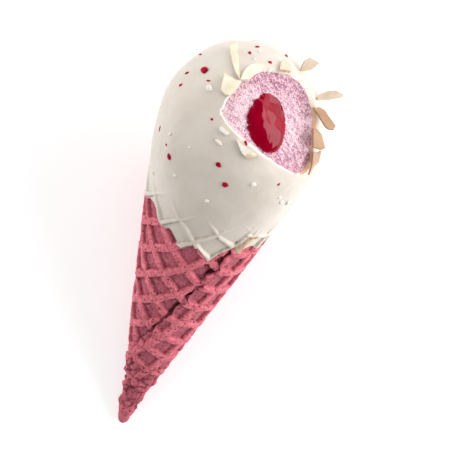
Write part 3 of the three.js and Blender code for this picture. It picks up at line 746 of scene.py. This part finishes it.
inner_share = np.linspace(1, 0, 18)[:, None]
inner_log = rim_log * (1 - inner_share) + dip_log * inner_share
inner_turn, inner_height = off_disc(uncentred(np.exp(inner_log + 1j * ring_angle)))
inner_base, inner_normal = coat_outside(inner_turn, inner_height)
coat_inside = inner_base - coat_wall * inner_normal

rim_length = np.hypot(ring_u, ring_v)
from_wide = np.arctan2(ring_v, ring_u) - 0.85
rim_band = 1.1 + 0.9 * np.exp(-(from_wide / 0.42) ** 2)
inner_u = ring_u * (1 - rim_band / rim_length)
inner_v = ring_v * (1 - rim_band / rim_length)
inner_rise = rise_to_ball(inner_u, inner_v, coat_wall)
inner_rim = in_bite(inner_u, inner_v, inner_rise)
coat_inside[-1] = inner_rim
wall_share = np.linspace(0, 1, 9)[1:-1, None, None]
wall_rows = inner_rim * (1 - wall_share) + coat_skin[0] * wall_share
wall_grain = 0.09 * noise(wall_rows, 0.9, 63) + 0.05 * noise(wall_rows, 0.45, 64)
wall_rows = wall_rows + unit(bite_centre - wall_rows) * wall_grain[..., None]

coat_rings = np.concatenate([coat_skin, coat_inside, wall_rows])
broken = np.zeros(coat_rings.shape[:2])
broken[:outer_rows] = seam_crack(coat_turn, coat_height)
# Painted shade: the broken rim's wall turns from cream to tan towards the bite's right and lower side,
# away from the light.
broken[outer_rows:] = 0.45 + 0.55 * smoothstep(9, 15, ring_u) * (1 - smoothstep(2, 9, ring_v))
# Painted shade: where the coating lies lower than half a millimetre higher up, or than 0.4 mm aside,
# its colour is darkened as by a shadow.
above = coat_lift(coat_turn, coat_height + 0.5)
beside = coat_lift(coat_turn + 0.4 / 24, coat_height)
here = coat_lift(coat_turn, coat_height)
fold = np.zeros(broken.shape)
fold[:outer_rows] = np.clip((np.maximum(above, beside) - here) / 0.7, 0, 1)
fold[:outer_rows] *= 1 - smoothstep(112, 118, coat_height)
# An amber streak slants across the dip's edge at the lower right.
stain = np.zeros(broken.shape)
stain_line = 41 + (coat_height - 107.5) * 0.93
stain_width = 1.1 + 0.5 * noise(coat_skin, 1.4, 65)
stain[:outer_rows] = smoothstep(106, 107.5, coat_height) * (1 - smoothstep(113.5, 115.5, coat_height))
stain[:outer_rows] *= np.exp(-((np.degrees(coat_turn) - stain_line) / 3.6 / stain_width) ** 4)
coating = put_piece(
    "dipped_coating",
    coat_rings.reshape(-1, 3),
    ring_faces(len(coat_rings), ring_count, closed=True),
    {"broken": broken.ravel(), "fold": fold.ravel(), "stain": stain.ravel()},
)


def coating_finish():
    """Set white coating: ivory, satin, a little see-through, warmer where it is broken, with painted
    shade that turns the broken rim tan on its right and darkens the low places beside the ridges.
    """
    add, place, dress = shader("ivory_coating")
    cloud = clouds(add, place, 55.0, 3.0, 0.5)
    base = ramp(add, cloud, {0.35: (219, 208, 196), 0.65: (226, 217, 206)})
    broken_with_shade_share = marked(add, "broken")
    # Painted shade: the tan end of this ramp stands for shade on the right of the broken rim.
    snapped_and_shaded = ramp(add, broken_with_shade_share, {0.45: (250, 242, 226), 1.0: (242, 204, 164)})
    base = mix(add, "MIX", calc(add, "MULTIPLY", broken_with_shade_share, 2.3), base, snapped_and_shaded)
    # Painted shade in the coating's low places beside its ridges.
    in_painted_fold_shade = calc(add, "MULTIPLY", marked(add, "fold"), 0.75)
    base = mix(add, "MIX", in_painted_fold_shade, base, colour(172, 156, 138))
    streaks = clouds(add, place, 700.0, 3.0, 0.6)
    amber = ramp(add, streaks, {0.4: (176, 116, 62), 0.62: (214, 178, 122)})
    base = mix(add, "MIX", marked(add, "stain"), base, amber)
    swell = clouds(add, place, 260.0, 3.0, 0.5)
    fine = clouds(add, place, 1300.0, 3.0, 0.6)
    relief = calc(add, "MULTIPLY_ADD", fine, 0.2, swell)
    return dress({
        "Base Color": base,
        "Normal": bumped(add, relief, 0.35, 0.0004),
        "Roughness": rescaled(add, cloud, 0.0, 1.0, 0.3, 0.46),
        "Specular IOR Level": 0.4,
        "Subsurface Weight": 0.3,
        "Subsurface Radius": (1.0, 0.75, 0.5),
        "Subsurface Scale": 0.0015,
    })


coating.data.materials.append(coating_finish())
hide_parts("coating")

# ---------------------------------------------------------------- jam core
# Thick clear jam that was poured down the middle of the ice cream. At the bite it bulges out a
# little, wet and glossy, with an edge that the torn ice cream leaves ragged.

core_centre = np.array([-1.95, -0.5])
core_half = np.array([6.8, 9.2])
core_bulge = 0.9
core_turns = 240
core_angle = np.linspace(0, TURN, core_turns, endpoint=False)
core_egg = np.array([
    1.08, 1.05, 1.06, 1.04, 1.03, 0.96, 0.9, 0.9, 0.94, 0.9, 0.86, 0.91, 0.97, 1.12, 1.2, 1.14,
])
core_stations = [
    {"behind": 1.1, "half": core_half, "egg": 1},
    {"behind": 8.0, "half": 0.99 * core_half, "egg": 0.6},
]
core_bend = np.array([4.5, 1.5, 141.0])
core_bend_half = np.array([6.9, 8.2])
core_in_cone = np.array([[124, 7.0], [106, 5.6], [90, 4.4], [78, 3.2], [76, 1.6]])
down_v = unit(np.cross(bite_u, [0, 0, -1.0]))


def egg(angle):
    """How much the core's outline is fuller, or flatter, than an ellipse in each direction."""
    knots = np.arange(len(core_egg)) * TURN / len(core_egg)
    near = [np.interp(angle + shift, knots, core_egg, period=TURN) for shift in (-0.16, 0, 0.16)]
    return (near[0] + 2 * near[1] + near[2]) / 4


def oval(at, across, up, half, grow, egg_share=0.0):
    """Ring of points: at + across cos t (half width + grow) + up sin t (half length + grow), both
    times the egg's share."""
    full = 1 + egg_share * (egg(core_angle) - 1)
    wide = ((half[0] + grow) * full * np.cos(core_angle))[:, None]
    long = ((half[1] + grow) * full * np.sin(core_angle))[:, None]
    return at + wide * across + long * up


def core_sides(grow):
    """Rings of the core from its edge at the bite, round the bend and down the cone's axis."""
    rings = []
    for station in core_stations:
        at = in_bite(core_centre[0], core_centre[1], np.float64(core_bulge - station["behind"]))
        rings.append(oval(at, bite_u, bite_v, station["half"], grow, station["egg"]))
    bend_v = unit(bite_v * 0.55 + down_v * 0.45)
    rings.append(oval(core_bend, bite_u, bend_v, core_bend_half, grow))
    for at_height, radius in core_in_cone:
        rings.append(oval(np.array([0, 0, at_height - grow]), bite_u, down_v, [radius, radius], grow))
    return np.array(rings)


def between(rings, steps):
    """Extra rings laid evenly between neighbours."""
    place = np.linspace(0, len(rings) - 1, (len(rings) - 1) * steps + 1)
    low = np.minimum(place.astype(int), len(rings) - 2)
    share = (place - low)[:, None, None]
    return rings[low] * (1 - share) + rings[low + 1] * share


dome_share = np.sin(np.linspace(0.02, 1, 44) * math.pi / 2)[:, None]
dome_u = core_centre[0] + dome_share * core_half[0] * egg(core_angle) * np.cos(core_angle)
dome_v = core_centre[1] + dome_share * core_half[1] * egg(core_angle) * np.sin(core_angle)
dome_flat = flat_map(dome_u, dome_v)
torn_side = smoothstep(-0.35, 0.5, -np.cos(core_angle))
ragged = (0.14 + 0.32 * torn_side) * noise(dome_flat, 0.85, 71) + 0.12 * noise(dome_flat, 0.4, 72)
ragged = ragged * smoothstep(0.82, 1.0, dome_share)
dome_u = dome_u + ragged * np.cos(core_angle)
dome_v = dome_v + ragged * np.sin(core_angle)
ripple = (
    0.5 * noise(dome_flat, 5.6, 73)
    + 0.22 * noise(dome_flat, 2.6, 74)
    + 0.05 * noise(dome_flat, 1.3, 75)
)
# The jam's own bumps and dents, and a slight twist of its whole face.
for at_u, at_v, wide, high, rise in [
    (-0.9, 6.2, 1.5, 1.2, -0.6), (-1.9, -5.6, 1.0, 1.6, 0.5), (-4.2, 4.2, 1.3, 1.6, 0.6),
    (3.5, 3.4, 0.5, 2.8, -0.4), (-1.2, 0.4, 1.3, 1.5, -0.3),
]:
    across, along = (dome_u - at_u) / wide, (dome_v - at_v) / high
    ripple = ripple + rise * np.exp(-across ** 2 - along ** 2)
ripple = ripple - 0.029 * (dome_u - core_centre[0]) * (dome_v - core_centre[1])
dome_rise = core_bulge + 0.75 - 1.85 * dome_share ** 2.7 + ripple * (1 - dome_share ** 6)
dome_rings = in_bite(dome_u, dome_v, dome_rise)
side_rings = between(core_sides(0.0), 4)[1:]
core_points, core_faces = capped_rings(np.concatenate([dome_rings, side_rings]))
core = put_piece("jam_filling", core_points, core_faces)


def jam_finish():
    """Wet crimson jam: deep red, nearly mirror smooth, with slow swells under the gloss."""
    add, place, dress = shader("crimson_jam")
    cloud = clouds(add, place, 180.0, 3.0, 0.6)
    swell = clouds(add, place, 330.0, 2.0, 0.5)
    return dress({
        "Base Color": ramp(add, cloud, {0.3: (132, 0, 26), 0.7: (152, 0, 36)}),
        "Normal": bumped(add, swell, 0.2, 0.0006),
        "Roughness": 0.08,
        "Specular IOR Level": 0.3,
    })


core.data.materials.append(jam_finish())
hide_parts("jam_core")

# ---------------------------------------------------------------- ice cream
# Pink fruit ice cream, frozen hard. It fills the cone and the coating, and the bite tore it into fine
# flakes; painted light makes their tips pale and painted shade makes the hollows between them mauve.

ice_turns = core_turns * 2
ice_angle = np.linspace(0, TURN, ice_turns, endpoint=False)
ice_cos = np.cos(ice_angle)
ice_sin = np.sin(ice_angle)
jam_overlap = 0.25
coat_gap = 0.3
under_slack = 0.35
cone_room = 4.1
hole_u = core_centre[0] + (core_half[0] - jam_overlap) * egg(ice_angle) * ice_cos
hole_v = core_centre[1] + (core_half[1] - jam_overlap) * egg(ice_angle) * ice_sin
outline_angle = np.arctan2(inner_v - core_centre[1], inner_u - core_centre[0])
hole_angle = np.arctan2(hole_v - core_centre[1], hole_u - core_centre[0])
brim_u = around(inner_u, outline_angle, hole_angle)
brim_v = around(inner_v, outline_angle, hole_angle)
brim_rise = around(inner_rise, outline_angle, hole_angle)
ice_recess = 0.4
ice_dome = 0.004
face_share = np.linspace(0, 1, 70)[:, None]
face_u = hole_u * (1 - face_share) + brim_u * face_share
face_v = hole_v * (1 - face_share) + brim_v * face_share
face_flat = flat_map(face_u, face_v)
stroke = flat_map(0.45 * (face_u - face_v), face_u + face_v)
flakes = 0.13 * noise(stroke, 0.75, 82) + 0.14 * noise(face_flat * [1.5, 1, 1], 0.42, 83)
swells = 0.12 * noise(face_flat, 1.6, 81)
face_rise = -ice_recess - ice_dome * (face_u ** 2 + face_v ** 2)
face_rise = face_rise + (brim_rise + 0.1 - face_rise) * smoothstep(0.66, 1.0, face_share)
face_rise = face_rise + flakes + swells
face_rings = in_bite(face_u, face_v, face_rise)

# The channel round the jam: each of the core's rings, doubled by the middles of its steps.
channel = between(core_sides(-jam_overlap), 3)
middles = (channel + np.roll(channel, -1, axis=1)) / 2
channel = np.stack([channel, middles], axis=2).reshape(len(channel), ice_turns, 3)

ball_middle = np.array([0, 0, ball_centre])
brim_ring = face_rings[-1]
belly_turn = bite_turn + np.arctan2(ice_cos, -ice_sin)
belly_height = 128.0
belly_radius = ball_radius(belly_height) - coat_wall - coat_gap
belly = round_axis(belly_radius, belly_turn, belly_height)
under_share = np.linspace(0, 1, 15)[1:-1, None, None]
under_way = (brim_ring - ball_middle) * (1 - under_share) + (belly - ball_middle) * under_share
under_way = unit(under_way)


def in_ball(reach):
    """Whether the point that far from the ball's middle on each way lies in the coated shape."""
    probe = ball_middle + under_way * reach[..., None]
    return np.hypot(probe[..., 0], probe[..., 1]) < ball_radius(probe[..., 2])


nowhere = np.zeros(under_way.shape[:2])
under_reach = last_inside(nowhere, nowhere + 40, in_ball) - coat_wall - coat_gap - under_slack
under_rings = ball_middle + under_way * under_reach[..., None]
cone_heights = np.array([120.0, 105, 85, 65, 45, 30])
cone_radii = cone_heights * math.tan(half_angle) - cone_room
cone_rings = round_axis(cone_radii[:, None], belly_turn, cone_heights[:, None])
ice_rings = np.concatenate([channel[::-1], face_rings, under_rings, belly[None], cone_rings])
ice_points, ice_faces = capped_rings(ice_rings)
flake_marks = np.zeros(ice_rings.shape[:2])
# Painted light and shade: the colour follows the flakes' height, paler on the tips and mauve in the
# hollows; it is also darker towards the crown and towards the dip.
toward_crown = smoothstep(5, 14, face_v + 0.35 * face_u)
toward_dip = smoothstep(4, 12, -face_v)
flake_marks[len(channel):len(channel) + len(face_rings)] = (
    flakes + 0.04 - 0.16 * toward_crown - 0.13 * toward_dip
)
ice_marks = {"flake": np.concatenate([flake_marks.ravel(), [0, 0]])}
ice_cream = put_piece("ice_cream_filling", ice_points, ice_faces, ice_marks)


def ice_cream_finish():
    """Torn ice cream, dry and grainy: painted light on the pale pink tips and painted shade in the
    mauve hollows.
    """
    add, place, dress = shader("pink_ice_cream")
    level = rescaled(add, marked(add, "flake"), -0.24, 0.24)
    speck = clouds(add, place, 2300.0, 2.0, 0.7)
    both = calc(add, "MULTIPLY_ADD", speck, 2.5, level)
    frost = calc(add, "MULTIPLY", both, 0.286)
    return dress({
        "Base Color": ramp(add, frost, {
            0.37: (168, 116, 138), 0.49: (228, 182, 196), 0.60: (251, 222, 230),
        }),
        "Normal": bumped(add, speck, 0.8, 0.0004),
        "Roughness": 0.62,
        "Specular IOR Level": 0.35,
        "Subsurface Weight": 0.25,
        "Subsurface Radius": (1.0, 0.6, 0.7),
        "Subsurface Scale": 0.0008,
    })


ice_cream.data.materials.append(ice_cream_finish())
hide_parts("ice_cream")

# ---------------------------------------------------------------- coating shards
# Splinters of the coating that the bite broke off round its edge. Each is a thin flat flake with
# snapped sides; some lie on the ball and some stand out from the broken rim.

shard_wall = 1.1
shard_lift = 0.15
shard_peel = 0.04
lying_shards = {
    "crown_long": [
        [-10.2, 22.7], [-8.8, 23.4], [-7.4, 23.9], [-9.0, 21.5], [-10.4, 17.2], [-11.0, 14.9],
        [-11.5, 11.9], [-12.2, 14.0], [-12.2, 17.1], [-11.5, 20.2],
    ],
    "crown_flat": [
        [-11.4, 11.9], [-10.4, 13.9], [-9.0, 15.6], [-7.2, 16.9], [-5.0, 17.4], [-3.0, 17.0],
        [-4.7, 15.7], [-6.9, 14.2], [-9.2, 12.1],
    ],
    "left": [
        [-15.1, 13.8], [-14.2, 12.9], [-12.8, 11.8], [-11.3, 11.5], [-12.6, 9.7], [-14.0, 7.7],
        [-14.9, 6.6], [-15.9, 6.9], [-16.8, 8.4], [-16.1, 10.8],
    ],
    "top": [[2.0, 16.2], [2.7, 17.8], [4.8, 19.8], [6.2, 18.8], [7.0, 17.2], [6.0, 16.0]],
    "chip": [[-17.1, -3.2], [-16.3, -3.1], [-14.7, -4.6], [-14.4, -5.3], [-15.2, -5.6], [-16.9, -4.2]],
    "lower_left": [
        [-12.3, -6.9], [-10.4, -8.4], [-8.5, -9.5], [-6.2, -10.7], [-5.0, -11.4], [-6.4, -12.0],
        [-8.0, -12.4], [-9.4, -11.6], [-10.8, -9.8],
    ],
}
standing_shards = {
    "top_right": [
        [11.7, 17.5, -3.6], [11.9, 19.0, -3.2], [12.4, 20.9, -2.6], [14.4, 22.0, -1.9],
        [17.5, 20.5, -1.5], [15.3, 18.3, -2.5], [13.4, 17.8, -3.1],
    ],
    "side_high": [
        [17.0, 8.4, -0.9], [16.8, 9.1, -1.0], [17.9, 10.4, -0.4], [19.9, 11.5, 0.6],
        [22.2, 11.8, 1.7], [24.6, 10.8, 2.6], [24.5, 9.7, 2.5], [20.7, 8.6, 0.7],
    ],
    "side_mid": [
        [14.3, 5.5, 1.3], [16.6, 5.7, 1.8], [18.0, 4.9, 2.4], [21.2, -0.1, 4.7],
        [20.3, -1.3, 4.8], [18.8, -1.3, 4.5], [17.6, -0.3, 3.9], [15.6, 3.6, 2.2],
    ],
    "side_low": [
        [14.1, -1.1, 2.3], [16.0, -1.7, 2.3], [17.3, -3.2, 2.5], [18.5, -7.3, 2.9],
        [17.3, -8.0, 2.9], [14.2, -7.3, 2.8],
    ],
    "corner": [
        [16.3, -8.7, -0.8], [17.8, -8.7, -0.8], [19.2, -8.1, -0.7], [18.7, -11.7, -1.1],
        [17.2, -13.1, -1.2], [15.5, -16.3, -1.6], [16.4, -12.5, -1.2],
    ],
}
# Painted shade: the plates at the right of the bite get browner tones, as if turned away from the
# light.
shard_tones = {
    "crown_long": 0.3, "crown_flat": 0.25, "left": 0.25, "top": 0.55, "chip": 0, "lower_left": 0,
    "top_right": 0.6, "side_high": 0.54, "side_mid": 1, "side_low": 1, "corner": 0.82,
}
plate_shares = np.array([0.02, 0.5, 0.93, 1, 1, 1, 1, 0.93, 0.5, 0.02])
plate_levels = np.array([0, 0, 0, 0.06, 0.35, 0.65, 0.94, 1, 1, 1])
plate_edge_shade = np.array([0, 0, 0, 0.2, 0.2, 0.2, 0.2, 0, 0, 0])


def plate_rings(corners, seed):
    """Rings of a snapped plate: its outline, walked evenly from corner to corner and chipped by
    noise, is shrunk to its middle on the lower face, the edge and the upper face in turn."""
    loop = np.array(corners + corners[:1], float)
    legs = np.linalg.norm(np.diff(loop, axis=0), axis=1)
    walked = np.concatenate([[0], np.cumsum(legs)])
    stops = np.linspace(0, walked[-1], 132, endpoint=False)
    outline = np.stack([np.interp(stops, walked, part) for part in loop.T], -1)
    chipped = np.pad(outline[:, :2], ((0, 0), (0, 1)))
    middle = outline.mean(axis=0)
    outline = middle + (outline - middle) * (1 + 0.03 * noise(chipped, 0.7, seed))[:, None]
    flat = middle + plate_shares[:, None, None] * (outline - middle)
    u, v = flat[..., 0], flat[..., 1]
    if flat.shape[-1] == 2:
        out_from_bite = np.hypot(u, v)
        peel = shard_lift + shard_peel * (out_from_bite - out_from_bite.min()) ** 1.5
        base = in_bite(u, v, rise_to_ball(u, v, 0.0))
        up = unit(base - ball_middle)
        base = base + up * peel[..., None]
    else:
        base = in_bite(u, v, flat[..., 2])
        up = np.cross(base[3, 40] - base[3, 0], base[3, 80] - base[3, 0])
        up = unit(up) * np.sign(up @ bite_facing)
        base = base - up * shard_wall / 2
    return base + up * (plate_levels * shard_wall)[:, None, None]


def shard_finish():
    """Snapped coating: white to cream on faces that were dipped, browner towards tone 1, which is
    painted shade on the plates to the right, on plate sides and on one lower facet, each cloudy and
    with a fine grain."""
    add, place, dress = shader("snapped_coating")
    base = ramp(add, marked(add, "tone"), {
        0.0: (248, 243, 236), 0.25: (251, 246, 226), 0.6: (224, 205, 185), 1.0: (196, 158, 130),
    })
    cloud = clouds(add, place, 300.0, 4.0, 0.6)
    shade = ramp(add, cloud, {0.35: (238, 230, 220), 0.65: (255, 255, 255)})
    return dress({
        "Base Color": mix(add, "MULTIPLY", 0.8, base, shade),
        "Normal": bumped(add, clouds(add, place, 1500.0, 4.0, 0.7), 0.3, 0.0002),
        "Roughness": 0.5,
        "Specular IOR Level": 0.3,
        "Subsurface Weight": 0.25,
        "Subsurface Radius": (1.0, 0.7, 0.4),
        "Subsurface Scale": 0.001,
    })


snapped_coating = shard_finish()
for number, (name, corners) in enumerate({**lying_shards, **standing_shards}.items()):
    rings = plate_rings(corners, 90 + number)
    points, faces = capped_rings(rings)
    # Painted shade: each plate's side walls are browner than its faces.
    tone = shard_tones[name] + plate_edge_shade[:, None] + np.zeros(rings.shape[:2])
    # Painted shade on the lower facet of the lower-left plate.
    if name == "lower_left":
        from_bite = (rings - bite_centre) @ bite_v
        tone = tone + 0.62 * smoothstep(-10.9, -11.5, from_bite)
    tone = np.append(tone.ravel(), [shard_tones[name], shard_tones[name]])
    plate = put_piece("flake_" + name, points, faces, {"tone": tone})
    plate.data.polygons.foreach_set("use_smooth", np.zeros(len(plate.data.polygons), bool))
    plate.data.materials.append(snapped_coating)
    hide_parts("shard_" + name)

# ---------------------------------------------------------------- fruit bits and crumbs
# Freeze-dried fruit bits and crumbs of coating, strewn on while the coating was soft. They stick
# half sunk: the fruit dark red and angular, the crumbs white.
# Each is [azimuth in degrees, height, half length, half width, turn in degrees].

shown_fruit = [
    [-64, 161.6, 1.5, 1.1, 20], [-75.5, 156.3, 0.9, 0.4, 60], [-68.4, 153.2, 0.8, 0.45, 60],
    [-91, 160.7, 1.0, 0.35, 40], [-63, 136.7, 1.2, 0.3, 90], [-47, 136.1, 0.45, 0.35, 0],
    [-41, 133.5, 1.0, 0.75, -60], [-5, 141.9, 0.95, 0.7, -30], [4, 135.9, 0.95, 0.85, 10],
    [-80, 169.3, 0.85, 0.45, 10], [-130, 169.3, 0.8, 0.45, 0], [147, 169.0, 0.75, 0.45, -40],
    [7.6, 169.75, 0.6, 0.55, 0], [39, 140.1, 0.55, 0.35, 60], [6.6, 152.1, 0.8, 0.4, -50],
    [-48.4, 161.2, 0.75, 0.3, 30], [-22.9, 153.9, 0.45, 0.35, 0],
]
shown_crumbs = [
    [-41, 160.0, 1.25, 0.9, 0], [-11, 148.8, 1.35, 0.6, -30], [-3, 126.9, 0.75, 0.6, 0],
    [-32, 128.7, 0.7, 0.6, 0], [21, 139.3, 0.9, 0.75, 30], [-47, 140.4, 0.8, 0.55, 40],
    [-28, 141.8, 0.5, 0.4, 0], [51.6, 143.1, 1.4, 0.3, 15], [-106, 169.7, 0.6, 0.5, 0],
    [-47, 169.4, 0.6, 0.5, 0], [59, 130.2, 1.0, 0.8, 0], [-152, 166.3, 0.7, 0.5, 0],
    [50, 131.5, 0.8, 0.6, 30], [46, 134.0, 0.6, 0.5, 0], [-58, 120.5, 0.6, 0.5, 0],
]
back_turns = np.linspace(112, 228, 8)
golden = 0.618


def back_bits():
    """Bits on the sides turned away: evenly spaced azimuths, heights and sizes by golden steps,
    and high up where the cone lies on the floor."""
    number = np.arange(len(back_turns))
    lowest = np.where(np.abs(back_turns - 180) < 40, 148, 131)
    bit_height = lowest + (160 - lowest) * (number * golden % 1)
    size = 0.7 + 0.5 * (number * golden * 2 % 1)
    return np.stack([back_turns, bit_height, size, 0.7 * size, number * 50.0], -1)


ball_latitude = np.linspace(0, math.pi, 8)[1:-1, None]
ball_longitude = np.linspace(0, TURN, 11, endpoint=False)[None, :]
unit_ball = round_axis(np.sin(ball_latitude), ball_longitude, np.cos(ball_latitude))
dent_makeup = 1.15


def strewn(name, places, thickness, roughness, seed):
    """One piece of many flattened grains. A grain is a ball scaled to its half length, half width
    and thickness, dented by noise, turned about the coating's normal and sunk half way in."""
    all_points, all_faces, first = [], [], 0
    for number, (degrees, at_height, half_long, half_wide, turned) in enumerate(places):
        place, normal = coat_outside(np.array(math.radians(degrees)), np.array(float(at_height)))
        east = unit(np.cross([0, 0, 1.0], normal))
        north = np.cross(normal, east)
        angle = math.radians(turned)
        long_way = east * math.cos(angle) + north * math.sin(angle)
        wide_way = north * math.cos(angle) - east * math.sin(angle)
        dent = 1 + roughness * noise(unit_ball * 3 + number * 7.3, 1.6, seed)[..., None]
        grain = unit_ball * dent
        rings = (
            place + grain[..., :1] * dent_makeup * half_long * long_way
            + grain[..., 1:2] * dent_makeup * half_wide * wide_way
            + grain[..., 2:] * thickness * half_wide * normal
        )
        points, faces = capped_rings(rings)
        all_points.append(points)
        all_faces.append(outward(laid(points), faces) + first)
        first += len(points)
    return put_piece(name, np.concatenate(all_points), np.concatenate(all_faces))


def fruit_finish():
    """Freeze-dried fruit: dark crimson, dry with a slight shine."""
    add, place, dress = shader("dried_fruit")
    cloud = clouds(add, place, 900.0, 3.0, 0.6)
    return dress({
        "Base Color": ramp(add, cloud, {0.35: (136, 0, 32), 0.65: (188, 4, 54)}),
        "Normal": bumped(add, cloud, 0.4, 0.0003),
        "Roughness": 0.6,
        "Specular IOR Level": 0.15,
    })


fruit = strewn("fruit_bits", [*shown_fruit, *back_bits()], 0.75, 0.25, 101)
fruit.data.materials.append(fruit_finish())
crumbs = strewn("coating_crumbs", shown_crumbs, 1.0, 0.45, 102)
crumbs.data.materials.append(snapped_coating)

# ---------------------------------------------------------------- floor, light and camera
# A white floor under soft studio light: a key lamp high beyond the ball, a broad lamp at the side
# that alone shows in the jam, and a weaker fill across from it. The camera looks down on the lying
# cone from the side of its ball.

floor_mesh = bpy.data.meshes.new("floor")
floor_mesh.from_pydata(
    [(-3, -3, 0), (3, -3, 0), (3, 3, 0), (-3, 3, 0)], [], [(0, 1, 2, 3)],
)
floor = bpy.data.objects.new("floor", floor_mesh)
bpy.context.scene.collection.objects.link(floor)
_, _, dress_floor = shader("white_floor")
floor.data.materials.append(dress_floor({
    "Base Color": (0.86, 0.86, 0.86, 1),
    "Roughness": 0.9,
    "Specular IOR Level": 0.1,
    "Emission Color": (1, 1, 1, 1),
    "Emission Strength": 0.4,
}))


def soft_lamp(name, at, wide, tall, watts, shows_in_gloss):
    """A rectangular lamp that faces the cone."""
    light = bpy.data.lights.new(name, "AREA")
    light.shape = "RECTANGLE"
    light.size = wide
    light.size_y = tall
    light.energy = watts
    lamp = bpy.data.objects.new(name, light)
    lamp.location = at
    lamp.rotation_euler = (lamp_aim - Vector(at)).to_track_quat("-Z", "Y").to_euler()
    lamp.visible_glossy = shows_in_gloss
    bpy.context.scene.collection.objects.link(lamp)


lamp_aim = Vector((0, 0, 0.02))
soft_lamp("key_lamp", (0.72, 0.05, 0.54), 0.6, 0.6, 1.4, False)
soft_lamp("side_lamp", (0.4, -0.74, 0.34), 1.15, 0.6, 9.4, True)
soft_lamp("fill_lamp", (-0.1, 0.8, 0.4), 0.8, 0.8, 4.0, False)
world = bpy.data.worlds.new("studio")
world.use_nodes = True
sky_light = world.node_tree.nodes["Background"]
sky_light.inputs["Color"].default_value = (1, 1, 1, 1)
sky_light.inputs["Strength"].default_value = 0.38
world.cycles_visibility.glossy = False
bpy.context.scene.world = world
bpy.context.scene.view_settings.view_transform = "Standard"

camera_at = Vector((0.22711, 0.0, 0.65166))
camera_aim = Vector((-0.04350, -0.00986, -0.03427))
camera_roll = math.radians(159.666)
picture_width = 458
focal_pixels = 1981.0
camera_data = bpy.data.cameras.new("camera")
camera_data.sensor_width = 36
camera_data.lens = focal_pixels * camera_data.sensor_width / picture_width
camera_data.clip_end = 10
camera = bpy.data.objects.new("camera", camera_data)
forward = (camera_aim - camera_at).normalized()
level_up = (Vector((0, 0, 1)) - forward.z * forward).normalized()
level_right = forward.cross(level_up)
camera_up = level_up * math.cos(camera_roll) + level_right * math.sin(camera_roll)
camera_right = forward.cross(camera_up)
turned = Matrix((camera_right, camera_up, -forward)).transposed().to_4x4()
camera.matrix_world = Matrix.Translation(camera_at) @ turned
bpy.context.scene.collection.objects.link(camera)
bpy.context.scene.camera = camera
